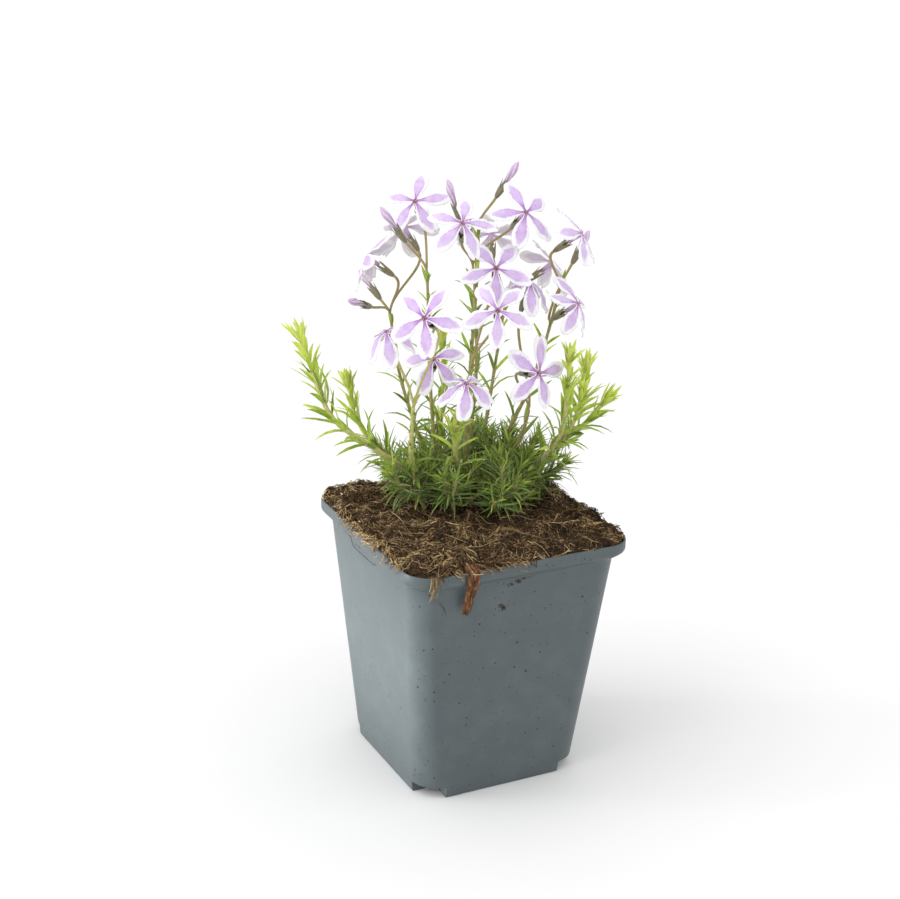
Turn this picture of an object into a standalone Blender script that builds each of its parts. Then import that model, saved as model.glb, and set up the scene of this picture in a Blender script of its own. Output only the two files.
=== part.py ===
"""A moss phlox in bloom, growing in its square nursery pot.

Metres, +Z up. The origin is the middle of the pot's underside, and X and Y run along the pot's sides.
The routes of stems, the places of flowers and the turned profiles are listed in millimetres.
"""

import itertools
import math
import random
from dataclasses import dataclass

import bmesh
import bpy
from mathutils import Matrix, Vector

MM = 0.001

# Pot: a thin moulded shell with a flared rim and corners cut up at the base for drainage.
POT_HEIGHT = 97 * MM
POT_RIM_HALF = 45 * MM
POT_NECK_HALF = 42 * MM
POT_BASE_HALF = 33.3 * MM
POT_WALL = 0.8 * MM
RIM_BAND = 4 * MM
RIM_FLARE = 3 * MM
RIM_CORNER = 10 * MM
BODY_CORNER = 11 * MM
NOTCH_SIDE = 9.5 * MM
NOTCH_HEIGHT = 4.5 * MM
DRAIN_RADIUS = 2.4 * MM
DRAIN_INSET = 5.0 * MM
DRAIN_SIDES = 8
CORNER_SEGMENTS = 3
CORNERS = tuple(itertools.product((-1, 1), repeat=2))
CUTTER_REACH = 6 * MM

# Soil: what fills the pot, mounded over the rim.
SOIL_GAP = 0.3 * MM
SOIL_EDGE = 97.6 * MM
SOIL_RISE = 3.4 * MM
SOIL_TOP = 112 * MM
SOIL_CELLS = 10
HOLE_DEPTH = 8 * MM
HOLE_SIDES = 6
HOLE_GAP = 0.8 * MM

# Plant
CROWN = (4.0, 11.0)
CLEARANCE = 0.45 * MM
LEAF_THICKNESS = 0.75 * MM
LEAF_LIFT = 1.5 * MM
LEAF_BENDS = (
    (0, 0, 1), (0, 0.35, 1), (0.35, 0.1, 1), (-0.35, 0.1, 1),
    (0, 0.6, 0.85), (0.6, 0.3, 0.8), (-0.6, 0.3, 0.8), (0, 0, 0.6),
)
STEM_STEP = 11 * MM
STEM_PLUMB = 2.5 * MM
STALK_RADIUS = 0.55 * MM
STALK_SEGMENTS = 3
TUFTS = 11
TUFT_INNER = 6.5
TUFT_REACH = 15.5
TUFT_RADIUS = 1.2 * MM
TUFT_TIP_RADIUS = 0.7
TUFT_FOOT = 99
TUFT_SPACING = 3.8
TUFT_STEPS = 8
TUFT_SWINGS = (0, 25, -25, 50, -50, 75, -75)
GOLDEN_ANGLE = math.radians(137.5)

# Flower, measured from its eye: five notched petals, a tube, and the calyx that holds the tube.
PETAL_LENGTH = 13.2 * MM
PETAL_THICKNESS = 0.6 * MM
PETAL_STATIONS = ((0.0, 0.65), (0.32, 2.3), (0.64, 3.1), (0.94, 1.5))
PETAL_NOTCH = 0.9
PETAL_COUNT = 5
PETAL_RISE = math.radians(6)
PETAL_STEPS = 12
EYE_RADIUS = 1.0 * MM
TUBE_LENGTH = 4.6 * MM
TUBE_PROFILE = ((-4.6, 0.95), (-1.5, 0.95), (0.55, 1.75))
CALYX_LENGTH = 7.5 * MM
CALYX_PROFILE = ((0.0, 0.55), (3.2, 1.45), (7.5, 1.45))
CALYX_GAP = 0.3 * MM
BUD_LENGTH = 16 * MM
BUD_PROFILE = ((0.0, 0.55), (3.5, 1.5), (8.3, 1.15), (12.8, 1.4), (16.0, 0.35))
HEAD_RADIUS = 1.5 * MM
PETAL_ROOM = 2.7


@dataclass(frozen=True)
class LeafRule:
    """How the leaves stand on a shoot: in pairs, each pair crossing the one below."""

    first: float
    gap_low: float
    gap_tip: float
    angle_low: float
    angle_tip: float
    length: float
    width: float


SHOOT = LeafRule(0.12, 5.6, 3.5, 74, 24, 11.5, 1.6)
FLOWERING = LeafRule(0.22, 9.5, 7, 66, 34, 11, 1.5)
TUFT = LeafRule(0.1, 1.45, 1.1, 86, 18, 10.6, 1.5)


@dataclass(frozen=True)
class Axis:
    """One stem: its route in millimetres, its radius at the foot and at the tip, and what it carries."""

    route: tuple
    radius: tuple
    rule: LeafRule
    blooms: tuple = ()
    buds: tuple = ()


@dataclass(frozen=True)
class Bloom:
    """A flower: the place of its eye in millimetres, where it faces, how far it folds back, its turn."""

    eye: tuple
    faces: tuple
    fold: float
    turn: float


BLOOMS = {
    "bloom_01": Bloom((-41, -10, 177), (-0.42, -0.20, 0.88), 62, 18),
    "bloom_02": Bloom((-35, -27, 186), (-0.66, -0.55, 0.52), 22, 0),
    "bloom_03": Bloom((-20, -5, 163), (-0.35, -0.70, 0.62), 48, 30),
    "bloom_04": Bloom((-16, -23, 159), (-0.20, -0.42, 0.88), 56, 54),
    "bloom_05": Bloom((-4, -22, 184), (-0.38, -0.70, 0.60), 26, 54),
    "bloom_06": Bloom((12, -25, 160), (0.12, -0.94, 0.28), 18, 0),
    "bloom_07": Bloom((4, -5, 194), (-0.36, -0.72, 0.60), 28, 54),
    "bloom_08": Bloom((17, -7, 188), (0.10, -0.30, 0.95), 58, 18),
    "bloom_09": Bloom((32, -16, 181), (0.50, -0.62, 0.60), 34, 70),
    "bloom_10": Bloom((-12, 29, 212), (-0.50, -0.52, 0.70), 26, 22),
    "bloom_11": Bloom((-9, -3, 211), (-0.30, -0.60, 0.74), 30, 11),
    "bloom_12": Bloom((18, 0, 212), (0.05, -0.76, 0.64), 24, 25),
    "bloom_13": Bloom((38, -6, 204), (0.62, -0.50, 0.60), 30, 8),
    "bloom_14": Bloom((11, 31, 203), (-0.10, 0.35, 0.93), 40, 32),
    "bloom_15": Bloom((-26, 40, 190), (-0.62, 0.60, 0.50), 26, 12),
    "bloom_16": Bloom((-6, 50, 197), (-0.10, 0.82, 0.56), 30, 30),
    "bloom_17": Bloom((28, 44, 193), (0.30, 0.76, 0.58), 24, 0),
    "bloom_18": Bloom((44, 24, 185), (0.88, 0.10, 0.46), 34, 20),
}

SPRAYS = {
    "spray_front_left": (
        Axis(
            (
                (-1, 13, 99), (-9, 9, 106), (-18, 7, 112), (-30, 7.5, 122), (-41, 10, 130),
                (-49.5, 12.5, 137), (-54, 16.5, 146), (-56.5, 20.5, 157), (-58.5, 26, 167),
            ),
            (1.15, 0.6),
            SHOOT,
        ),
        Axis(
            ((-17, 7.5, 111), (-22, 6, 120), (-25, 1, 131), (-27, -4, 145)),
            (1.05, 0.7),
            FLOWERING,
            blooms=("bloom_01", "bloom_02", "bloom_03"),
        ),
        Axis(
            ((-5, 11, 102.5), (-3, 6, 111), (-6, 2, 120), (-9, -2, 131), (-11, -7, 140)),
            (0.95, 0.6),
            SHOOT,
            blooms=("bloom_04",),
        ),
    ),
    "spray_front": (
        Axis(
            ((4, 15, 100), (3, 12, 116), (1, 8, 132), (-2, 1, 150), (-3, -3, 160)),
            (0.95, 0.6),
            FLOWERING,
            blooms=("bloom_05", "bloom_07"),
        ),
    ),
    "spray_front_right": (
        Axis(
            ((11, 12, 100), (17, 8, 112), (20, 0, 126), (19, -7, 139)),
            (0.95, 0.6),
            FLOWERING,
            blooms=("bloom_06", "bloom_08"),
        ),
    ),
    "spray_right": (
        Axis(
            ((17, 5, 100), (22, -3, 113), (26, -12, 124), (27, -18, 134), (26, -22, 148), (23, -27, 165)),
            (1.1, 0.6),
            SHOOT,
        ),
        Axis(((26, -14, 126), (30, -17, 132), (32, -19, 139), (33, -20, 146)), (0.8, 0.5), SHOOT),
        Axis(((24, -8, 119), (32, -11, 127), (38, -15, 134), (43, -19, 142)), (0.8, 0.5), SHOOT),
    ),
    "spray_left_tall": (
        Axis(
            ((-3, 20, 99), (-7, 18, 122), (-11, 15, 148), (-13, 14, 175), (-14, 14, 190)),
            (0.85, 0.5),
            FLOWERING,
            blooms=("bloom_10",),
            buds=((-24, 22, 206),),
        ),
    ),
    "spray_middle_tall": (
        Axis(
            ((7, 20, 100), (8, 17, 126), (6, 11, 152), (3, 8, 178), (2, 9, 192)),
            (0.85, 0.5),
            FLOWERING,
            blooms=("bloom_11", "bloom_12"),
            buds=((-2, 18, 214),),
        ),
    ),
    "spray_back_tall": (
        Axis(
            ((10, 26, 100), (12, 28, 128), (12, 26, 158), (11, 22, 186), (10, 21, 203)),
            (0.85, 0.5),
            FLOWERING,
            blooms=("bloom_14",),
            buds=((22, 22, 219),),
        ),
    ),
    "spray_right_tall": (
        Axis(
            ((15, 18, 100), (22, 13, 124), (27, 4, 148), (30, -1, 170), (32, -3, 184)),
            (0.85, 0.5),
            FLOWERING,
            blooms=("bloom_09", "bloom_13"),
            buds=((44, 4, 196),),
        ),
    ),
    "spray_back_left": (
        Axis(
            ((-1, 26, 99), (-8, 31, 122), (-14, 36, 146), (-17, 38, 168)),
            (0.85, 0.5),
            FLOWERING,
            blooms=("bloom_15", "bloom_16"),
            buds=((-34, 28, 176), (-20, 50, 176)),
        ),
    ),
    "spray_back_right": (
        Axis(
            ((16, 25, 100), (22, 31, 122), (27, 34, 146), (30, 34, 168)),
            (0.85, 0.5),
            FLOWERING,
            blooms=("bloom_17", "bloom_18"),
            buds=((40, 46, 172),),
        ),
    ),
    "spray_trailing_back_left": (
        Axis(((-8, 21, 99), (-14, 32, 106), (-20, 43, 113), (-25, 50, 123), (-27, 53, 136)), (1.0, 0.6), SHOOT),
    ),
    "spray_trailing_back": (
        Axis(((6, 31, 99), (8, 42, 107), (13, 52, 117), (16, 57, 133), (15, 58, 148)), (1.0, 0.6), SHOOT),
    ),
    "spray_trailing_right": (
        Axis(((21, 17, 99), (34, 16, 106), (46, 14, 115), (54, 14, 129), (57, 16, 144)), (1.0, 0.6), SHOOT),
    ),
}


def mm(point):
    """A point in millimetres as a Vector in metres."""
    return Vector(point) * MM


def soil_height(x, y):
    """Height of the soil's surface at a place in metres: a low mound with lumps on it."""
    edge = min(1.0, max(abs(x), abs(y)) / POT_RIM_HALF)
    mound = SOIL_RISE * (1 - edge**2)
    lumps = 0.9 * math.sin(x * 210 + 1.3) * math.cos(y * 170 - 0.4)
    lumps += 0.6 * math.sin(x * 390 - y * 300) + 0.5 * math.cos(y * 520 + x * 90)
    return SOIL_EDGE + mound + lumps * MM


def add_object(name, mesh_maker, collection):
    """A mesh object whose mesh a bmesh function fills."""
    shape = bmesh.new()
    mesh_maker(shape)
    mesh = bpy.data.meshes.new(name)
    shape.to_mesh(mesh)
    shape.free()
    obj = bpy.data.objects.new(name, mesh)
    collection.objects.link(obj)
    return obj


def as_cutter(obj):
    """Shows a cutter as wire and keeps it out of the model."""
    obj.hide_render = True
    obj.display_type = "WIRE"


def boolean(obj, other, operation):
    """Adds a Boolean with an object or with all of a collection."""
    modifier = obj.modifiers.new(operation.lower(), "BOOLEAN")
    modifier.operation = operation
    if isinstance(other, bpy.types.Collection):
        modifier.operand_type = "COLLECTION"
        modifier.collection = other
    else:
        modifier.object = other
    return modifier


def material(name, color, roughness):
    """A plain Principled material."""
    made = bpy.data.materials.new(name)
    made.use_nodes = True
    shader = made.node_tree.nodes["Principled BSDF"]
    shader.inputs["Base Color"].default_value = (*color, 1)
    shader.inputs["Roughness"].default_value = roughness
    shader.inputs["Metallic"].default_value = 0
    return made


def rounded_square(half, corner):
    """Points round a square with rounded corners, the same number for every size."""
    points = []
    for quarter in range(4):
        for step in range(CORNER_SEGMENTS + 1):
            turn = math.pi / 2 * (quarter + step / CORNER_SEGMENTS)
            middle = math.pi / 2 * quarter + math.pi / 4
            x = (half - corner) * math.sqrt(2) * math.cos(middle) + corner * math.cos(turn)
            y = (half - corner) * math.sqrt(2) * math.sin(middle) + corner * math.sin(turn)
            points.append((x, y))
    return points


def loft(name, sections, collection):
    """A closed form through rounded squares, each one (height, half width, corner radius)."""

    def make(shape):
        rings = []
        for height, half, corner in sections:
            rings.append([shape.verts.new((x, y, height)) for x, y in rounded_square(half, corner)])
        for low, high in zip(rings, rings[1:]):
            for i in range(len(low)):
                j = (i + 1) % len(low)
                shape.faces.new((low[i], low[j], high[j], high[i]))
        shape.faces.new(list(reversed(rings[0])))
        shape.faces.new(rings[-1])

    return add_object(name, make, collection)


def cavity(inset, top):
    """The sections of the space inside the pot, drawn in by a gap and carried up to a height."""
    neck = POT_HEIGHT - RIM_BAND - RIM_FLARE
    slope = (POT_NECK_HALF - POT_BASE_HALF) / neck
    body_corner = BODY_CORNER - inset
    rim_corner = RIM_CORNER - inset
    return (
        (inset, POT_BASE_HALF + slope * inset - inset, body_corner),
        (neck, POT_NECK_HALF - inset, body_corner),
        (neck + RIM_FLARE, POT_RIM_HALF - inset, rim_corner),
        (top, POT_RIM_HALF - inset, rim_corner),
    )


def corner_blocks(name, half, side, top, collection):
    """Four square blocks, one at each corner of the base, joined in one helper mesh."""

    def make(shape):
        reach = CUTTER_REACH
        middle = half - side + (side + reach) / 2
        size = Matrix.Diagonal((side + reach, side + reach, top + reach, 1))
        for sign_x, sign_y in CORNERS:
            place = Matrix.Translation((sign_x * middle, sign_y * middle, (top - reach) / 2))
            bmesh.ops.create_cube(shape, size=1, matrix=place @ size)

    return add_object(name, make, collection)


def build_pot(parts, helpers):
    """The pot: an outer form less its inside, with raised drainage corners."""
    band = POT_HEIGHT - RIM_BAND
    outline = (
        (0, POT_BASE_HALF, BODY_CORNER),
        (band - RIM_FLARE, POT_NECK_HALF, BODY_CORNER),
        (band, POT_RIM_HALF, RIM_CORNER),
        (POT_HEIGHT, POT_RIM_HALF, RIM_CORNER),
    )
    pot = loft("pot", outline, parts)
    inside = loft("inside", cavity(POT_WALL, POT_HEIGHT + CUTTER_REACH), helpers)
    notches = corner_blocks("corner_notches", POT_BASE_HALF, NOTCH_SIDE, NOTCH_HEIGHT, helpers)
    steps = corner_blocks(
        "corner_steps", POT_BASE_HALF, NOTCH_SIDE + POT_WALL, NOTCH_HEIGHT + POT_WALL, helpers
    )

    def drains(shape):
        place = POT_BASE_HALF - DRAIN_INSET
        for sign_x, sign_y in CORNERS:
            bmesh.ops.create_cone(
                shape,
                cap_ends=True,
                segments=DRAIN_SIDES,
                radius1=DRAIN_RADIUS,
                radius2=DRAIN_RADIUS,
                depth=CUTTER_REACH,
                matrix=Matrix.Translation((sign_x * place, sign_y * place, NOTCH_HEIGHT)),
            )

    holes = add_object("drain_holes", drains, helpers)
    boolean(inside, steps, "DIFFERENCE")
    for cutter in (inside, notches, holes):
        boolean(pot, cutter, "DIFFERENCE")
    for helper in (inside, notches, steps, holes):
        as_cutter(helper)
    return pot


def build_soil(feet, parts, helpers):
    """The soil: it fills the pot to a small gap, rises in a mound, and has a plain hole for each foot."""
    inset = POT_WALL + SOIL_GAP
    soil = loft("soil", cavity(inset, SOIL_TOP), parts)
    steps = corner_blocks("soil_steps", POT_BASE_HALF, NOTCH_SIDE + inset, NOTCH_HEIGHT + inset, helpers)

    def air(shape):
        half = POT_RIM_HALF + 2 * MM
        bmesh.ops.create_grid(shape, x_segments=SOIL_CELLS, y_segments=SOIL_CELLS, size=half)
        ground = list(shape.verts)
        lifted = bmesh.ops.extrude_face_region(shape, geom=list(shape.faces))["geom"]
        for item in lifted:
            if isinstance(item, bmesh.types.BMVert):
                item.co.z = SOIL_TOP + CUTTER_REACH
        for vertex in ground:
            vertex.co.z = soil_height(vertex.co.x, vertex.co.y)
        bmesh.ops.triangulate(shape, faces=list(shape.faces))
        bmesh.ops.recalc_face_normals(shape, faces=list(shape.faces))

    def foot_holes(shape):
        for x, y, radius in feet:
            middle = soil_height(x, y) + (CUTTER_REACH - HOLE_DEPTH) / 2
            bmesh.ops.create_cone(
                shape,
                cap_ends=True,
                segments=HOLE_SIDES,
                radius1=radius + HOLE_GAP,
                radius2=radius + HOLE_GAP,
                depth=HOLE_DEPTH + CUTTER_REACH,
                matrix=Matrix.Translation((x, y, middle)),
            )

    above = add_object("soil_air", air, helpers)
    holes = add_object("foot_holes", foot_holes, helpers)
    for cutter in (steps, above, holes):
        boolean(soil, cutter, "DIFFERENCE")
    for helper in (steps, above, holes):
        as_cutter(helper)
    return soil


def smooth_route(points, step):
    """Points about a step apart on a smooth curve through the given ones."""
    whole = [points[0] * 2 - points[1], *points, points[-1] * 2 - points[-2]]
    made = [points[0]]
    for a, b, c, d in zip(whole, whole[1:], whole[2:], whole[3:]):
        count = max(1, round((c - b).length / step))
        for i in range(1, count + 1):
            t = i / count
            made.append(
                (b * 2 + (c - a) * t + (a * 2 - b * 5 + c * 4 - d) * t**2 + (b * 3 - a - c * 3 + d) * t**3) / 2
            )
    return made


def arc_between(start, leaving, end, arriving, count):
    """Points of a curve that leaves one point and arrives at another in given directions."""
    reach = (end - start).length
    made = []
    for i in range(count + 1):
        t = i / count
        made.append(
            start * (2 * t**3 - 3 * t**2 + 1)
            + leaving * reach * (t**3 - 2 * t**2 + t)
            + end * (3 * t**2 - 2 * t**3)
            + arriving * reach * (t**3 - t**2)
        )
    return made


def across(direction):
    """Two directions at right angles to one, the first as level as it can be."""
    level = Vector((-direction.y, direction.x, 0))
    if level.length < 0.05:
        level = Vector((1, 0, 0))
    level.normalize()
    return level, direction.cross(level).normalized()


def lerp(a, b, share):
    """A value part of the way from a to b."""
    return a + (b - a) * share


class Clearance:
    """What is already in the air, as thick line pieces, so that nothing new crosses another node."""

    def __init__(self):
        self.pieces = []

    def add(self, owner, a, b, radius):
        """Keeps the line from a to b, radius thick, as the owner's."""
        self.pieces.append((owner, a.copy(), b.copy(), radius))

    @staticmethod
    def distance(a, b, c, d):
        """Shortest distance between the lines a to b and c to d."""
        u, v, w = b - a, d - c, a - c
        uu, uv, vv, uw, vw = u.dot(u), u.dot(v), v.dot(v), u.dot(w), v.dot(w)
        spread = uu * vv - uv * uv
        s = 0.0 if spread < 1e-16 else min(1.0, max(0.0, (uv * vw - vv * uw) / spread))
        t = (uv * s + vw) / vv if vv > 1e-16 else 0.0
        t = min(1.0, max(0.0, t))
        s = min(1.0, max(0.0, (uv * t - uw) / uu)) if uu > 1e-16 else 0.0
        return ((a + u * s) - (c + v * t)).length

    def above_soil(self, a, b):
        """True if a leaf's end and middle stay over the soil and the rim."""
        return b.z > soil_height(b.x, b.y) + LEAF_LIFT and (a + b).z / 2 > SOIL_EDGE + LEAF_LIFT

    def clear(self, owner, a, b, radius):
        """True if the line keeps clear of every other owner's pieces."""
        reach = (b - a).length + radius + CLEARANCE
        for other, c, d, thick in self.pieces:
            if other == owner:
                continue
            if (c - a).length > reach + (d - c).length + thick:
                continue
            if self.distance(a, b, c, d) < radius + thick + CLEARANCE:
                return False
        return True


def leaf_sites(route, rule, rng):
    """Every leaf of a shoot as (side, root, direction, length), foot to tip."""
    lengths = [0.0]
    for a, b in zip(route, route[1:]):
        lengths.append(lengths[-1] + (b - a).length)
    whole = lengths[-1]
    at, pair = whole * rule.first, 0
    while at < whole - 0.8 * MM:
        share = at / whole
        k = max(i for i, passed in enumerate(lengths[:-1]) if passed <= at)
        root = route[k].lerp(route[k + 1], (at - lengths[k]) / (lengths[k + 1] - lengths[k]))
        tangent = (route[k + 1] - route[k]).normalized()
        level, upright = across(tangent)
        for side in (0, 1):
            turn = math.pi / 2 * pair + math.pi * side + rng.uniform(-0.3, 0.3)
            lean = math.radians(lerp(rule.angle_low, rule.angle_tip, share**1.3) + rng.uniform(-8, 8))
            out = level * math.cos(turn) + upright * math.sin(turn)
            direction = tangent * math.cos(lean) + out * math.sin(lean)
            length = rule.length * MM * (0.72 + 0.5 * math.sin(math.pi * min(1.0, share + 0.12)))
            yield side, root, direction.normalized(), length * rng.uniform(0.86, 1.1)
        at += lerp(rule.gap_low, rule.gap_tip, share) * MM
        pair += 1


def petal_frame(bloom, index):
    """A matrix from a petal's own frame to its place: X outwards, Z along the way the flower faces."""
    faces = Vector(bloom.faces).normalized()
    level, upright = across(faces)
    turn = math.radians(bloom.turn) + math.tau * index / PETAL_COUNT
    out = level * math.cos(turn) + upright * math.sin(turn)
    side = faces.cross(out)
    frame = Matrix((out, side, faces)).transposed().to_4x4()
    frame.translation = mm(bloom.eye)
    return frame


def petal_line(fold, share):
    """Where a petal's middle line is, at a share of its length: it folds back as it goes out."""
    step = PETAL_LENGTH / PETAL_STEPS
    x, z = EYE_RADIUS, 0.0
    for i in range(round(share * PETAL_STEPS)):
        angle = math.radians(fold) * min(1.0, 0.35 + 1.3 * (i + 0.5) / PETAL_STEPS) - PETAL_RISE
        x += step * math.cos(angle)
        z -= step * math.sin(angle)
    return x, z


def petal_mesh(shape, bloom, index):
    """One petal: a blade that widens, narrows at the end and has a notch in its tip."""
    frame = petal_frame(bloom, index)
    rows = []
    for share, half_width in PETAL_STATIONS:
        x, z = petal_line(bloom.fold, share)
        y = half_width * MM
        rows.append([shape.verts.new(frame @ Vector((x, side * y, z))) for side in (-1, 1)])
    x, z = petal_line(bloom.fold, PETAL_NOTCH)
    notch = shape.verts.new(frame @ Vector((x, 0, z)))
    for (a, b), (c, d) in zip(rows[:-2], rows[1:-1]):
        shape.faces.new((a, c, d))
        shape.faces.new((a, d, b))
    (a, b), (c, d) = rows[-2:]
    shape.faces.new((a, c, notch))
    shape.faces.new((a, notch, b))
    shape.faces.new((b, notch, d))


def join_all(name, root, pieces, parts):
    """Joins a root mesh and a collection of repeats into one body, and removes what it was made of."""
    repeats = bpy.data.collections.new(name + "_repeats")
    bpy.context.scene.collection.children.link(repeats)
    for piece in pieces:
        repeats.objects.link(piece)
    boolean(root, repeats, "UNION").solver = "MANIFOLD"
    graph = bpy.context.evaluated_depsgraph_get()
    mesh = bpy.data.meshes.new_from_object(root.evaluated_get(graph))
    made = bpy.data.objects.new(name, mesh)
    parts.objects.link(made)
    for obj in [root, *repeats.objects]:
        bpy.data.objects.remove(obj)
    bpy.data.collections.remove(repeats)
    return made


def stations(base, way, profile):
    """Points and radii of a straight turned form, from (distance along in mm, radius in mm) pairs."""
    return [base + way * along * MM for along, _ in profile], [radius * MM for _, radius in profile]


def build_bloom(name, bloom, parts, helpers):
    """Five petals and the tube they stand on, in one body."""
    points, radii = stations(mm(bloom.eye), Vector(bloom.faces).normalized(), TUBE_PROFILE)
    root = stem_mesh(name + "_tube", points, radii, helpers)
    petals = []
    for index in range(PETAL_COUNT):
        petal = add_object(f"{name}_petal_{index}", lambda shape, i=index: petal_mesh(shape, bloom, i), helpers)
        plate = petal.modifiers.new("plate", "SOLIDIFY")
        plate.thickness = PETAL_THICKNESS
        plate.offset = 0
        petals.append(petal)
    return join_all(name, root, petals, parts)


def stem_mesh(name, points, radii, helpers):
    """A round stem through points, each with its radius, as a welded mesh."""
    curve = bpy.data.curves.new(name, "CURVE")
    curve.dimensions = "3D"
    curve.bevel_depth = 1
    curve.bevel_resolution = 1
    curve.use_fill_caps = True
    spline = curve.splines.new("POLY")
    spline.points.add(len(points) - 1)
    for knot, point, radius in zip(spline.points, points, radii):
        knot.co = (*point, 1)
        knot.radius = radius
    obj = bpy.data.objects.new(name + "_curve", curve)
    helpers.objects.link(obj)
    graph = bpy.context.evaluated_depsgraph_get()
    mesh = bpy.data.meshes.new_from_object(obj.evaluated_get(graph))
    shape = bmesh.new()
    shape.from_mesh(mesh)
    bmesh.ops.remove_doubles(shape, verts=list(shape.verts), dist=1e-6)
    shape.to_mesh(mesh)
    shape.free()
    made = bpy.data.objects.new(name, mesh)
    made.matrix_world = obj.matrix_world
    helpers.objects.link(made)
    bpy.data.objects.remove(obj)
    return made


def leaf_mesh(shape, root, direction, length, width):
    """A three-sided needle, flat across the stem, with its root in the stem's middle."""
    level, upright = across(direction)
    frame = Matrix((level, upright, direction)).transposed().to_4x4()
    frame.translation = root + direction * (length / 2)
    flat = Matrix.Diagonal((width / 2, LEAF_THICKNESS / 2, length, 1))
    corner = 1 / math.cos(math.radians(30))
    bmesh.ops.create_cone(
        shape, cap_ends=True, segments=3, radius1=corner, radius2=0, depth=1, matrix=frame @ flat
    )


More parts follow.
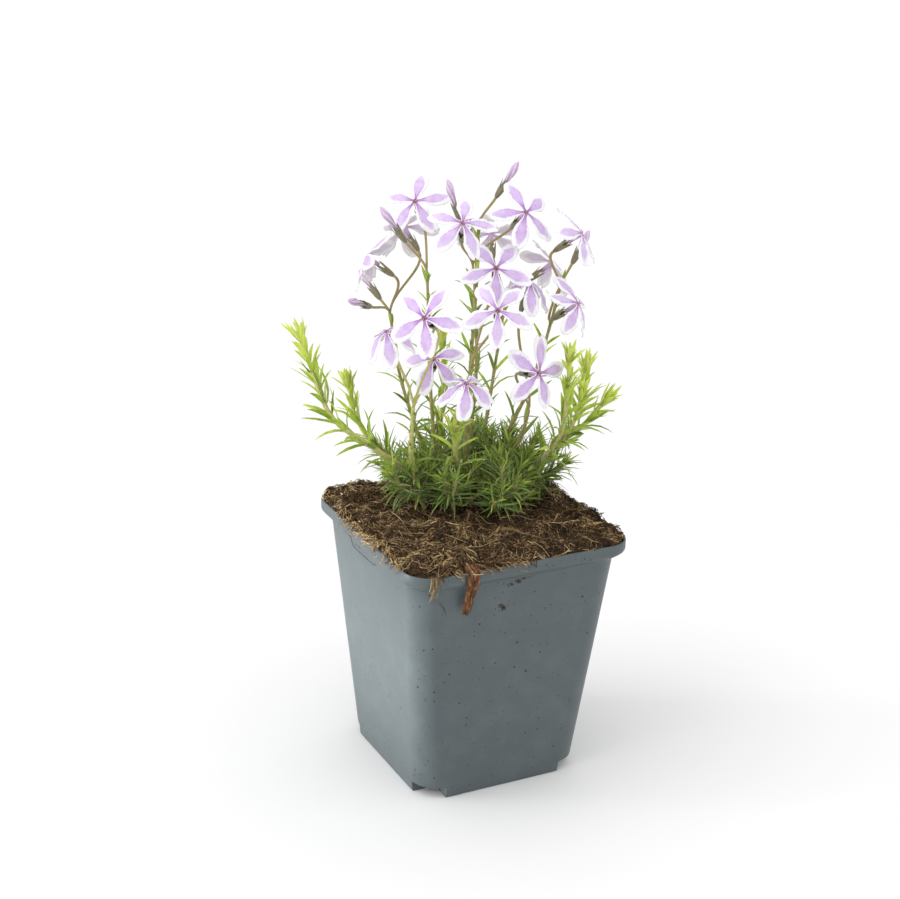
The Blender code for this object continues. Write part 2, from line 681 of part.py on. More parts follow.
class Plant:
    """Grows the sprays, tufts and flowers so that none crosses another."""

    def __init__(self, parts, helpers):
        self.parts = parts
        self.helpers = helpers
        self.space = Clearance()
        self.feet = []

    def calyx_base(self, bloom):
        """Where a flower's stalk joins its calyx."""
        faces = Vector(bloom.faces).normalized()
        return mm(bloom.eye) - faces * (TUBE_LENGTH + CALYX_GAP + CALYX_LENGTH)

    def lines_of(self, axis, foot):
        """The stem's points and, for each flower and bud, its stalk's points, its way and its profile."""
        points = [mm(p) for p in axis.route]
        if foot:
            x, y = points[0].x, points[0].y
            ground = soil_height(x, y)
            points[0].z = ground + STEM_PLUMB
            low, high = Vector((x, y, ground - HOLE_DEPTH + 2 * SOIL_GAP)), Vector((x, y, ground - STEM_PLUMB))
            stem = [low, *smooth_route([high, *points], STEM_STEP)]
        else:
            stem = smooth_route(points, STEM_STEP)
        tip, along = stem[-1], (stem[-1] - stem[-2]).normalized()
        ends = []
        for name in axis.blooms:
            faces = Vector(BLOOMS[name].faces).normalized()
            ends.append((self.calyx_base(BLOOMS[name]), faces, CALYX_PROFILE))
        for bud in axis.buds:
            way = (mm(bud) - tip).normalized()
            ends.append((mm(bud) - way * BUD_LENGTH / 2, way, BUD_PROFILE))
        start = tip - along * MM
        heads = [(arc_between(start, along, low, way, STALK_SEGMENTS), way, shape) for low, way, shape in ends]
        return stem, heads

    def reserve(self):
        """Takes the room of every stem, stalk, head and petal before any leaf is placed."""
        for name, axes in SPRAYS.items():
            for number, axis in enumerate(axes):
                stem, heads = self.lines_of(axis, number == 0)
                thick = axis.radius[0] * MM
                if number == 0:
                    self.feet.append((stem[0].x, stem[0].y, thick))
                for a, b in zip(stem, stem[1:]):
                    self.space.add(name, a, b, thick)
                for line, way, profile in heads:
                    for a, b in zip(line, line[1:]):
                        self.space.add(name, a, b, STALK_RADIUS)
                    self.space.add(name, line[-1], line[-1] + way * profile[-1][0] * MM, HEAD_RADIUS)
        for (name, bloom), index in itertools.product(BLOOMS.items(), range(PETAL_COUNT)):
            frame = petal_frame(bloom, index)
            lines = [petal_line(bloom.fold, share) for share, _ in PETAL_STATIONS]
            spots = [frame @ Vector((x, 0, z)) for x, z in lines]
            for a, b, (_, half_width) in zip(spots, spots[1:], PETAL_STATIONS[1:]):
                self.space.add(name, a, b, min(half_width, PETAL_ROOM) * MM)

    def place_leaf(self, owner, root, direction, length, width):
        """A leaf's (direction, length) once it is clear of the rest, or None where there is no room."""
        level, _ = across(direction)
        for bend_side, bend_up, part in LEAF_BENDS:
            tried = (direction + level * bend_side + Vector((0, 0, bend_up))).normalized()
            start = root + tried * HEAD_RADIUS
            end = root + tried * length * part
            if self.space.above_soil(start, end) and self.space.clear(owner, start, end, width / 2):
                return tried, length * part
        return None

    def grow(self, name, axes, rng):
        """One node: its stems, stalks and heads, with its leaves standing out of them."""
        pieces = []
        for number, axis in enumerate(axes):
            stem, heads = self.lines_of(axis, number == 0)
            last = len(stem) - 1
            radii = [lerp(*axis.radius, i / last) * MM for i in range(last + 1)]
            pieces.append(stem_mesh(f"{name}_stem_{number}", stem, radii, self.helpers))
            pieces += self.build_heads(f"{name}_{number}", heads)
            pieces += self.build_leaves(name, stem[2:] if number == 0 else stem, axis.rule, rng)
        return join_all(name, pieces[0], pieces[1:], self.parts)

    def build_heads(self, name, heads):
        """The stalks, each swelling into its calyx or bud."""
        made = []
        for number, (line, way, profile) in enumerate(heads):
            points, radii = stations(line[-1], way, profile)
            stalk = [STALK_RADIUS] * (len(line) - 1)
            made.append(stem_mesh(f"{name}_head_{number}", line[:-1] + points, stalk + radii, self.helpers))
        return made

    def build_leaves(self, name, route, rule, rng):
        """One leaf of each pair along a stem, where it has room."""
        made = []
        width = rule.width * MM
        for side, root, direction, length in leaf_sites(route, rule, rng):
            placed = None if side else self.place_leaf(name, root, direction, length, width)
            if placed is None:
                continue
            way, reach = placed
            self.space.add(name, root, root + way * reach, width / 2)
            leaf = add_object(
                f"{name}_leaf_{len(made)}",
                lambda shape, r=root, w=way, n=reach: leaf_mesh(shape, r, w, n, width),
                self.helpers,
            )
            made.append(leaf)
        return made

    def tuft_axes(self):
        """The short dense shoots round the crown, each moved out or turned until it has room."""
        made = {}
        for k in range(TUFTS):
            name = f"tuft_{k + 1:02d}"
            turn = GOLDEN_ANGLE * k + 0.6
            ring = TUFT_INNER + TUFT_REACH * math.sqrt((k + 0.5) / TUFTS)
            out = Vector((math.cos(turn), math.sin(turn), 0))
            for step, swing in itertools.product(range(TUFT_STEPS), TUFT_SWINGS):
                foot = Vector((*CROWN, 0)) + out * (ring + step)
                axis = self.tuft_axis(foot, Matrix.Rotation(math.radians(swing), 3, "Z") @ out, ring)
                if self.has_room(name, axis, foot):
                    break
            stem, _ = self.lines_of(axis, True)
            for a, b in zip(stem, stem[1:]):
                self.space.add(name, a, b, TUFT_RADIUS)
            self.feet.append((foot.x * MM, foot.y * MM, TUFT_RADIUS))
            made[name] = (axis,)
        return made

    def has_room(self, name, axis, foot):
        """True if a tuft's foot and stem keep clear of all that stands already."""
        nearest = min((Vector((x, y, 0)) / MM - foot).length for x, y, _ in self.feet)
        stem, _ = self.lines_of(axis, True)
        return nearest > TUFT_SPACING and all(
            self.space.clear(name, a, b, TUFT_RADIUS) for a, b in zip(stem, stem[1:])
        )

    @staticmethod
    def tuft_axis(foot, out, ring):
        """A short stem that rises and leans outwards, more the further it stands from the crown."""
        rise, lean = 27 - 0.45 * ring, 3 + 0.55 * ring
        base = Vector((foot.x, foot.y, TUFT_FOOT))
        middle = base + out * lean * 0.35 + Vector((0, 0, rise * 0.55))
        top = base + out * lean + Vector((0, 0, rise))
        return Axis((tuple(base), tuple(middle), tuple(top)), (TUFT_RADIUS / MM, TUFT_TIP_RADIUS), TUFT)


def paint(obj, finish):
    """Gives an object one material and no other."""
    obj.data.materials.clear()
    obj.data.materials.append(finish)


def main():
    """Builds the pot, the soil, the flowers, the sprays and the tufts."""
    for old in list(bpy.data.objects):
        bpy.data.objects.remove(old)
    parts = bpy.data.collections.new("phlox_in_pot")
    helpers = bpy.data.collections.new("cutters")
    for collection in (parts, helpers):
        bpy.context.scene.collection.children.link(collection)
    plant = Plant(parts, helpers)
    plant.reserve()
    shoots = {**SPRAYS, **plant.tuft_axes()}
    paint(build_pot(parts, helpers), material("pot_plastic", (0.20, 0.24, 0.26), 0.5))
    paint(build_soil(plant.feet, parts, helpers), material("soil", (0.11, 0.07, 0.04), 0.95))
    petal = material("petal", (0.86, 0.76, 0.90), 0.6)
    for name, bloom in BLOOMS.items():
        paint(build_bloom(name, bloom, parts, helpers), petal)
    leaf = material("leaf", (0.18, 0.33, 0.05), 0.55)
    for number, (name, axes) in enumerate(shoots.items()):
        paint(plant.grow(name, axes, random.Random(number)), leaf)


main()
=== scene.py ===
"""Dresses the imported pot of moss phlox: plastic pot, fibrous soil, stems, leaves, buds and flowers.

Metres, +Z up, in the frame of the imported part. The routes of stems and the places of flowers are the
part's own, in millimetres, so every leaf, bud and petal stands where its CAD node does.
"""

import itertools
import logging
import math
import random
from collections.abc import Callable, Iterator, Sequence
from contextlib import contextmanager
from dataclasses import dataclass, field, replace
from enum import Enum

import bpy
import numpy as np
from mathutils import Matrix, Vector, noise

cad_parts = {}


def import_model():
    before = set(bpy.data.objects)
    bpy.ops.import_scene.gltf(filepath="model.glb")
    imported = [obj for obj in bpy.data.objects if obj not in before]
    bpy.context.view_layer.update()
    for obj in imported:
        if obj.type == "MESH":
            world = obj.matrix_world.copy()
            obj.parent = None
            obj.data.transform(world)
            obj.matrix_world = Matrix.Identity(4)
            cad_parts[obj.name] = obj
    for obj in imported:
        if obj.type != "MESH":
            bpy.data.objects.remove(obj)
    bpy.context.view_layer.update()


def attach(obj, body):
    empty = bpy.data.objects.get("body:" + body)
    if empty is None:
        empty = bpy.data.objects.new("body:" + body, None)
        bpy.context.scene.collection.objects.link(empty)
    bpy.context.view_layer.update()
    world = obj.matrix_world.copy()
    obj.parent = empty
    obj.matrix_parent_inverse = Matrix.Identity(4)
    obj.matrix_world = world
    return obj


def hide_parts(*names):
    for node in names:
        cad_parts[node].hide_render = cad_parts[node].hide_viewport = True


LOG = logging.getLogger("phlox")
MM = 0.001
Colour = tuple[float, float, float]
Stops = tuple[tuple[float, Colour], ...]
Socket = bpy.types.NodeSocket


def srgb(red: float, green: float, blue: float) -> Colour:
    """A colour given from 0 to 255 as the linear one that a shader takes."""
    shares = (red / 255, green / 255, blue / 255)
    return tuple(c / 12.92 if c <= 0.04045 else ((c + 0.055) / 1.055) ** 2.4 for c in shares)


def stops(*rows: tuple[float, ...]) -> Stops:
    """A ramp's stops, each given as its place and its red, green and blue from 0 to 255."""
    return tuple((at, srgb(*colour)) for at, *colour in rows)


# Finishes.


class Recipe:
    """One material's node tree, wired step by step up to its Principled shader."""

    def __init__(self, name: str, **settings: float) -> None:
        """Starts a material.

        Args:
            name: The finish's name.
            settings: Values of the shader's sockets, their names in lower case with underscores.
        """
        self.material = bpy.data.materials.new(name)
        self.material.use_nodes = True
        self.tree = self.material.node_tree
        self.shader = self.tree.nodes["Principled BSDF"]
        sockets = {s.name.lower().replace(" ", "_"): s for s in self.shader.inputs}
        for key, value in settings.items():
            sockets[key].default_value = value

    @classmethod
    def skin(
        cls, name: str, glow: Colour, rough: float, shine: float, depth: float, velvet: float = 0
    ) -> "Recipe":
        """Starts a plant's skin, which light enters a little way.

        Args:
            name: The finish's name.
            glow: How far red, green and blue light spread in it, in metres.
            rough: How rough it is.
            shine: How strongly it reflects.
            depth: How much of the light enters it.
            velvet: How much sheen its fine hairs give.

        Returns:
            The recipe.
        """
        weights = {"subsurface_weight": depth, "sheen_weight": velvet}
        made = cls(name, roughness=rough, specular_ior_level=shine, **weights)
        made.shader.inputs["Subsurface Radius"].default_value = glow
        made.shader.inputs["Subsurface Scale"].default_value = 1.0
        return made

    def node(self, kind: str, **settings: object) -> bpy.types.Node:
        """Adds a node of a kind and sets its properties."""
        made = self.tree.nodes.new("ShaderNode" + kind)
        for key, value in settings.items():
            setattr(made, key, value)
        return made

    def feed(self, target: Socket, value: object) -> None:
        """Links a socket to another, or sets its value."""
        if isinstance(value, Socket):
            self.tree.links.new(value, target)
        else:
            target.default_value = (*value, 1) if isinstance(value, tuple) else value

    def attribute(self, name: str) -> Socket:
        """A number that the mesh carries at each point."""
        return self.node("Attribute", attribute_name=name).outputs["Fac"]

    def place(self, stretch: Colour = (1, 1, 1)) -> Socket:
        """Object coordinates, stretched along each axis."""
        mapping = self.node("Mapping")
        mapping.inputs["Scale"].default_value = stretch
        self.feed(mapping.inputs["Vector"], self.node("TexCoord").outputs["Object"])
        return mapping.outputs["Vector"]

    def petal_map(self) -> tuple[Socket, Socket]:
        """How far along the petal a point is, and how far across it, from its UV map."""
        split = self.node("SeparateXYZ")
        self.feed(split.inputs[0], self.node("UVMap", uv_map="UVMap").outputs[0])
        return split.outputs[0], split.outputs[1]

    def grain(
        self, size: float, detail: float = 3.0, stretch: Colour = (1, 1, 1), warp: float = 0.0
    ) -> Socket:
        """A cloudy pattern.

        Args:
            size: The width of one cloud in metres.
            detail: How many finer layers lie on it.
            stretch: Scale along each axis.
            warp: How much it is twisted.

        Returns:
            The pattern, from 0 to 1.
        """
        made = self.node("TexNoise")
        for key, value in (("Scale", 1 / size), ("Detail", detail), ("Distortion", warp)):
            made.inputs[key].default_value = value
        self.feed(made.inputs["Vector"], self.place(stretch))
        return made.outputs[0]

    def cells(self, size: float, stretch: Colour = (1, 1, 1)) -> tuple[Socket, Socket]:
        """Distance from the middles of scattered cells, and a number from 0 to 1 for each cell."""
        made, one = self.node("TexVoronoi"), self.node("SeparateColor")
        made.inputs["Scale"].default_value = 1 / size
        self.feed(made.inputs["Vector"], self.place(stretch))
        self.feed(one.inputs[0], made.outputs["Color"])
        return made.outputs["Distance"], one.outputs[0]

    def level(
        self, value: Socket, low: float, high: float, start: float = 0.0, end: float = 1.0
    ) -> Socket:
        """A value spread from one range over another, smoothly and never past its ends."""
        made = self.node("MapRange", interpolation_type="SMOOTHSTEP")
        self.feed(made.inputs[0], value)
        for socket, number in zip(list(made.inputs)[1:5], (low, high, start, end)):
            self.feed(socket, number)
        return made.outputs[0]

    def math(self, operation: str, a: Socket | float, b: Socket | float = 0.0) -> Socket:
        """One sum of two values."""
        made = self.node("Math", operation=operation)
        self.feed(made.inputs[0], a)
        self.feed(made.inputs[1], b)
        return made.outputs[0]

    def plus(self, a: Socket, b: Socket | float) -> Socket:
        """Two values added."""
        return self.math("ADD", a, b)

    def times(self, a: Socket, b: Socket | float) -> Socket:
        """Two values multiplied."""
        return self.math("MULTIPLY", a, b)

    def away(self, value: Socket, middle: float) -> Socket:
        """How far a value is from a middle, either way."""
        return self.math("ABSOLUTE", self.math("SUBTRACT", value, middle))

    def ramp(self, value: Socket, *stops: tuple[float, Colour]) -> Socket:
        """A colour for each value, between stops."""
        made = self.node("ValToRGB")
        bands = made.color_ramp.elements
        while len(bands) < len(stops):
            bands.new(0.5)
        for band, (at, colour) in zip(bands, stops):
            band.position = at
            band.color = (*colour, 1)
        self.feed(made.inputs[0], value)
        return made.outputs[0]

    def mix(self, share: Socket, a: Socket | Colour, b: Socket | Colour, how: str = "MIX") -> Socket:
        """Two colours mixed."""
        made = self.node("Mix", data_type="RGBA", blend_type=how)
        self.feed(made.inputs[0], share)
        self.feed(made.inputs[6], a)
        self.feed(made.inputs[7], b)
        return made.outputs[2]

    def done(
        self,
        colour: Socket,
        roughness: Socket | None = None,
        relief: Socket | None = None,
        depth: float = 0.0001,
        strength: float = 0.5,
    ) -> bpy.types.Material:
        """Wires the finish into its shader.

        Args:
            colour: The surface's colour.
            roughness: Its roughness, where a pattern drives it.
            relief: The height that its bump comes from.
            depth: How deep the bump looks, in metres.
            strength: How strongly it is drawn.

        Returns:
            The finished material.
        """
        self.feed(self.shader.inputs["Base Color"], colour)
        if roughness is not None:
            self.feed(self.shader.inputs["Roughness"], roughness)
        if relief is not None:
            bump = self.node("Bump")
            bump.inputs["Strength"].default_value = strength
            bump.inputs["Distance"].default_value = depth
            self.feed(bump.inputs["Height"], relief)
            self.feed(self.shader.inputs["Normal"], bump.outputs[0])
        return self.material


@dataclass(frozen=True)
class PotPlastic:
    """Blue-grey satin plastic with a little dust, dirt specks and fine scratches."""

    plastic: Colour = srgb(80, 89, 92)
    worn: Colour = srgb(85, 94, 96)
    dust: Colour = srgb(108, 107, 96)
    dirt: Colour = srgb(30, 27, 21)
    scuff: Colour = srgb(118, 127, 128)
    specks: tuple = ((5.2 * MM, 0.25, 0.1), (2.6 * MM, 0.4, 0.145), (1.3 * MM, 0.72, 0.2))

    def make(self) -> bpy.types.Material:
        """The pot's material."""
        r = Recipe("pot_plastic", roughness=0.45, specular_ior_level=0.38)
        colour = r.mix(r.level(r.grain(9 * MM, 5), 0.4, 0.7), self.plastic, self.worn)
        film = r.times(r.level(r.grain(3 * MM, 6, warp=0.6), 0.55, 0.85), 0.4)
        colour = r.mix(film, colour, self.dust)
        hair = r.grain(0.45 * MM, 1, (1, 1, 0.03), 2.2)
        worn = r.level(r.grain(11 * MM, 2), 0.52, 0.62, 0, 0.35)
        scratch = r.times(r.level(hair, 0.68, 0.74), worn)
        colour = r.mix(scratch, colour, self.scuff)
        for size, least, widest in self.specks:
            away, kind = r.cells(size)
            chosen = r.level(kind, least, 1.0, 0.015, widest)
            speck = r.level(r.math("SUBTRACT", away, chosen), -0.02, 0.02, 0.85, 0)
            speck = r.times(speck, r.level(kind, least, least + 0.02))
            colour = r.mix(speck, colour, self.dirt)
        fine = r.plus(r.grain(0.35 * MM, 2), r.times(scratch, -0.8))
        rough = r.level(r.plus(film, scratch), 0.0, 0.5, 0.43, 0.62)
        return r.done(colour, rough, fine, 0.04 * MM, 0.3)


@dataclass(frozen=True)
class Soil:
    """Dark, crumbly peat under its fibres."""

    browns: Stops = stops((0.32, 34, 27, 20), (0.58, 72, 56, 39), (0.76, 132, 110, 76))

    def make(self) -> bpy.types.Material:
        """The soil's material."""
        r = Recipe("peat_soil", roughness=0.95, specular_ior_level=0.15)
        crumb = r.grain(1.3 * MM, 6, warp=0.8)
        shred = r.grain(0.9 * MM, 3, (1, 0.25, 1), 3.0)
        colour = r.ramp(crumb, *self.browns)
        colour = r.mix(r.level(shred, 0.6, 0.72, 0, 0.6), colour, self.browns[-1][1])
        colour = r.mix(r.level(r.grain(8 * MM, 2), 0.48, 0.66, 0, 0.6), colour, self.browns[0][1])
        return r.done(colour, None, r.plus(crumb, shred), 0.7 * MM, 0.9)


@dataclass(frozen=True)
class Fibre:
    """Peat fibres and crumbs, each one its own brown, from near black to straw."""

    name: str
    roughness: float = 0.85
    browns: Stops = stops(
        (0, 30, 23, 16), (0.35, 72, 54, 37), (0.6, 118, 93, 63), (0.85, 170, 143, 101), (1, 203, 180, 138)
    )

    def make(self) -> bpy.types.Material:
        """A material that takes each strand's or crumb's shade from its tint."""
        r = Recipe(self.name, roughness=self.roughness, specular_ior_level=0.2)
        streak = r.grain(0.6 * MM, 4, warp=0.5)
        shade = r.plus(r.attribute("tint"), r.level(streak, 0.3, 0.7, -0.12, 0.12))
        return r.done(r.ramp(shade, *self.browns), None, streak, 0.15 * MM, 0.6)


@dataclass(frozen=True)
class Bark:
    """A shred of red-brown bark, ridged along its length."""

    browns: Stops = stops((0.36, 50, 31, 20), (0.52, 98, 63, 40), (0.7, 148, 104, 68))

    def make(self) -> bpy.types.Material:
        """The bark's material."""
        r = Recipe("bark", roughness=0.8, specular_ior_level=0.25)
        ridge = r.grain(0.7 * MM, 5, (1, 1, 0.16), 0.6)
        return r.done(r.ramp(ridge, *self.browns), None, ridge, 0.4 * MM, 0.9)


@dataclass(frozen=True)
class StemSkin:
    """Stem skin: woody at an old foot, yellow-green where young, reddish on flowering stems."""

    ages: Stops = stops((0.05, 136, 112, 80), (0.45, 158, 154, 90), (0.95, 206, 206, 126))
    red: Colour = srgb(136, 96, 78)

    def make(self) -> bpy.types.Material:
        """The stems' material."""
        r = Recipe.skin("stem_skin", (0.0008, 0.0009, 0.0003), 0.6, 0.3, 0.15, 0.25)
        mottle = r.grain(1.1 * MM, 4, warp=0.6)
        age = r.plus(r.attribute("young"), r.level(mottle, 0.3, 0.7, -0.14, 0.14))
        blush = r.times(r.attribute("tint"), r.level(mottle, 0.25, 0.6, 0.55, 1.0))
        colour = r.mix(blush, r.ramp(age, *self.ages), self.red)
        return r.done(colour, None, r.grain(0.25 * MM, 2), 0.06 * MM, 0.5)


@dataclass(frozen=True)
class LeafSkin:
    """Needle leaves, deep green low down and yellow-green at the tips of shoots."""

    ages: Stops = stops(
        (0, 45, 68, 22), (0.25, 72, 99, 31), (0.5, 114, 140, 42), (0.75, 170, 192, 66), (1, 204, 218, 98)
    )
    base: Colour = srgb(182, 188, 104)
    midrib: Colour = srgb(174, 190, 100)
    margin: Colour = srgb(204, 212, 150)
    straw: Colour = srgb(150, 118, 70)

    def make(self) -> bpy.types.Material:
        """The leaves' material."""
        r = Recipe.skin("leaf_skin", (0.0009, 0.0012, 0.0002), 0.48, 0.35, 0.28, 0.1)
        young = r.plus(r.attribute("young"), r.times(r.attribute("tint"), 0.22))
        young = r.plus(young, r.level(r.grain(2.2 * MM, 3), 0.3, 0.7, -0.1, 0.06))
        colour = r.ramp(young, *self.ages)
        along, across = r.attribute("along"), r.math("ABSOLUTE", r.attribute("across"))
        colour = r.mix(r.level(along, 0.0, 0.3, 0.4, 0.0), colour, self.base)
        colour = r.mix(r.level(across, 0.05, 0.22, 0.3, 0.0), colour, self.midrib)
        colour = r.mix(r.level(across, 0.8, 1.0, 0.0, 0.18), colour, self.margin)
        withered = r.times(r.level(along, 0.8, 1.0), r.level(r.attribute("tint"), 0.8, 0.95, 0, 0.8))
        colour = r.mix(withered, colour, self.straw)
        rough = r.level(r.grain(1.5 * MM, 3), 0.3, 0.7, 0.4, 0.58)
        return r.done(colour, rough, r.grain(0.4 * MM, 2, (1, 1, 0.5)), 0.05 * MM, 0.5)


@dataclass(frozen=True)
class CalyxSkin:
    """Calyx: green ribs with dull purple-brown between them and at the points."""

    between: Colour = srgb(128, 112, 104)
    rib: Colour = srgb(126, 132, 80)
    blotch: Colour = srgb(98, 76, 76)
    points: Colour = srgb(106, 84, 88)

    def make(self) -> bpy.types.Material:
        """The calyces' material."""
        r = Recipe.skin("calyx_skin", (0.0008, 0.0008, 0.0004), 0.65, 0.25, 0.15, 0.3)
        colour = r.mix(r.level(r.attribute("across"), 0.2, 0.9), self.between, self.rib)
        mottle = r.grain(0.8 * MM, 4, warp=0.5)
        colour = r.mix(r.level(mottle, 0.45, 0.7, 0, 0.5), colour, self.blotch)
        colour = r.mix(r.level(r.attribute("along"), 0.55, 1.0, 0, 0.55), colour, self.points)
        return r.done(colour, None, r.grain(0.3 * MM, 2), 0.08 * MM, 0.6)


@dataclass(frozen=True)
class BudSkin:
    """A furled bud: mauve-grey low down, lilac and white streaks winding to its tip."""

    lilacs: Stops = stops(
        (0.3, 132, 112, 122), (0.55, 166, 138, 168), (0.8, 196, 168, 204), (1, 206, 160, 208)
    )
    ridge: Colour = srgb(232, 222, 236)
    blotch: Colour = srgb(138, 104, 142)

    def make(self) -> bpy.types.Material:
        """The buds' material."""
        r = Recipe.skin("bud_skin", (0.001, 0.0008, 0.001), 0.55, 0.25, 0.2, 0.2)
        colour = r.ramp(r.attribute("along"), *self.lilacs)
        colour = r.mix(r.level(r.attribute("across"), 0.1, 0.9, 0, 0.55), colour, self.ridge)
        colour = r.mix(r.level(r.grain(0.9 * MM, 3), 0.5, 0.75, 0, 0.35), colour, self.blotch)
        return r.done(colour, None, r.grain(0.35 * MM, 2), 0.05 * MM, 0.5)


@dataclass(frozen=True)
class PetalSkin:
    """White petals with a veined lilac stripe that deepens to magenta streaks round the eye."""

    name: str
    strength: float
    margin: Colour = srgb(240, 238, 242)
    pale: Colour = srgb(222, 208, 236)
    lilac: Colour = srgb(201, 174, 219)
    deep: Colour = srgb(172, 126, 201)
    streak: Colour = srgb(160, 76, 164)
    veins: float = 56

    def make(self) -> bpy.types.Material:
        """One side's material."""
        r = Recipe.skin(self.name, (0.0012, 0.0009, 0.0013), 0.6, 0.2, 0.2, 0.12)
        along, side = r.petal_map()
        across = r.times(r.away(side, 0.5), 2.0)
        ragged = r.plus(across, r.level(r.grain(0.9 * MM, 4, warp=0.4), 0.25, 0.75, -0.08, 0.08))
        edge = r.level(along, 0.5, 1.0, 0.67, 0.22)
        stripe = r.level(r.math("SUBTRACT", ragged, edge), -0.2, 0.12, 1.0, 0.0)
        stripe = r.times(stripe, r.level(along, 0.84, 0.96, 1.0, 0.0))
        stripe = r.times(stripe, r.level(r.attribute("tint"), 0.0, 1.0, 0.78, 1.0))
        stripe = r.times(stripe, self.strength)
        body = r.ramp(along, (0.06, self.deep), (0.3, self.lilac), (0.7, self.lilac), (0.95, self.pale))
        body = r.mix(r.level(r.grain(2.4 * MM, 3), 0.35, 0.7, 0.0, 0.5), body, self.pale)
        rim = r.times(r.level(across, 0.3, 0.66), r.level(along, 0.25, 0.9, 0.6, 0.3))
        body = r.mix(rim, body, self.deep)
        shaken = r.plus(side, r.level(r.grain(2 * MM), 0, 1, -0.02, 0.02))
        fan = r.math("SINE", r.times(shaken, self.veins))
        vein = r.times(r.level(fan, 0.5, 1.0), r.level(along, 0.1, 0.8, 0.55, 0.15))
        body = r.mix(vein, body, self.deep)
        colour = r.mix(stripe, self.margin, body)
        fork = r.level(r.away(across, 0.4), 0.08, 0.3, 1.0, 0.0)
        eye = r.times(fork, r.level(along, 0.05, 0.3, 0.9 * self.strength, 0.0))
        colour = r.mix(eye, colour, self.streak)
        return r.done(colour, None, r.plus(fan, r.grain(0.5 * MM, 2)), 0.05 * MM, 0.3)


@dataclass(frozen=True)
class ThroatSkin:
    """The flower's tube: lilac outside, darker towards the calyx and inside the mouth."""

    lilacs: Stops = stops(
        (0, 140, 110, 134), (0.35, 196, 174, 204), (0.66, 208, 176, 210), (0.86, 190, 134, 184),
        (1, 150, 92, 132),
    )
    mottling: Colour = srgb(214, 180, 222)

    def make(self) -> bpy.types.Material:
        """The tube's material."""
        r = Recipe.skin("throat_skin", (0.001, 0.0006, 0.001), 0.55, 0.25, 0.2)
        mottle = r.grain(0.7 * MM, 3)
        colour = r.ramp(r.attribute("along"), *self.lilacs)
        colour = r.mix(r.level(mottle, 0.5, 0.75, 0, 0.3), colour, self.mottling)
        return r.done(colour, None, mottle, 0.05 * MM, 0.4)


@dataclass(frozen=True)
class Pollen:
    """Powdery orange-yellow anthers."""

    grains: Stops = stops((0.35, 220, 172, 150), (0.7, 246, 222, 186))

    def make(self) -> bpy.types.Material:
        """The anthers' material."""
        r = Recipe("anther_pollen", roughness=0.9, specular_ior_level=0.1)
        grit = r.grain(0.12 * MM, 3)
        return r.done(r.ramp(grit, *self.grains), None, grit, 0.05 * MM, 0.8)


@dataclass(frozen=True)
class Backdrop:
    """The studio's white floor."""

    white: Colour = (0.82, 0.82, 0.818)
    shade: float = 0.995

    def make(self) -> bpy.types.Material:
        """A matt white with the faintest unevenness."""
        r = Recipe("studio_floor", roughness=0.9, specular_ior_level=0.1)
        faint = tuple(c * self.shade for c in self.white)
        colour = r.mix(r.level(r.grain(0.4, 2), 0.3, 0.7), faint, self.white)
        return r.done(colour, None, r.grain(3 * MM, 2), 0.05 * MM, 0.1)


class Finish(Enum):
    """Every finish of the plant and its pot."""

    PLASTIC = PotPlastic()
    SOIL = Soil()
    FIBRE = Fibre("peat_fibre")
    CRUMB = Fibre("peat_crumb", 0.95)
    BARK = Bark()
    STEM = StemSkin()
    LEAF = LeafSkin()
    CALYX = CalyxSkin()
    BUD = BudSkin()
    PETAL_FACE = PetalSkin("petal_face", 1.0)
    PETAL_BACK = PetalSkin("petal_back", 0.55)
    THROAT = ThroatSkin()
    POLLEN = Pollen()
    FLOOR = Backdrop()


MADE: dict[Finish, bpy.types.Material] = {}


def material(finish: Finish) -> bpy.types.Material:
    """The material of a finish, made at its first use."""
    if finish not in MADE:
        MADE[finish] = finish.value.make()
    return MADE[finish]


# Modelling by hand.

SAME_HEIGHT = 1e-6
WELD = 2e-6


def take(*objects: bpy.types.Object) -> None:
    """Selects these objects and no others, with the first one active."""
    bpy.ops.object.select_all(action="DESELECT")
    for obj in objects:
        obj.select_set(True)
    bpy.context.view_layer.objects.active = objects[0]


def fresh(name: str) -> bpy.types.Object:
    """Names the object that an operator has just added."""
    obj = bpy.context.view_layer.objects.active
    obj.name = obj.data.name = name
    return obj


def add(kind: str, name: str, **settings: object) -> bpy.types.Object:
    """Adds a primitive, selected alone, and names it."""
    bpy.ops.object.select_all(action="DESELECT")
    getattr(bpy.ops.mesh, f"primitive_{kind}_add")(**settings)
    return fresh(name)


def edit(mode: bool) -> None:
    """Goes into edit mode or out of it."""
    bpy.ops.object.mode_set(mode="EDIT" if mode else "OBJECT")


@contextmanager
def all_selected() -> Iterator[None]:
    """Edit mode with all of the active mesh selected."""
    edit(True)
    bpy.ops.mesh.select_all(action="SELECT")
    yield
    edit(False)


def join(name: str, parts: Sequence[bpy.types.Object]) -> bpy.types.Object:
    """Joins several meshes into one piece at the origin."""
    take(*parts)
    if len(parts) > 1:
        bpy.ops.object.join()
    bpy.ops.object.transform_apply(location=True, rotation=True, scale=True)
    return fresh(name)


def apply(obj: bpy.types.Object, kind: str, **settings: object) -> None:
    """Gives an object a modifier and applies it."""
    take(obj)
    modifier = obj.modifiers.new(kind.lower(), kind)
    for key, value in settings.items():
        setattr(modifier, key, value)
    bpy.ops.object.modifier_apply(modifier=modifier.name)


def smooth(obj: bpy.types.Object, degrees: float = 180) -> bpy.types.Object:
    """Smooths an object's shading, except over edges sharper than an angle."""
    take(obj)
    if degrees < 180:
        bpy.ops.object.shade_smooth_by_angle(angle=math.radians(degrees))
    else:
        bpy.ops.object.shade_smooth()
    return obj


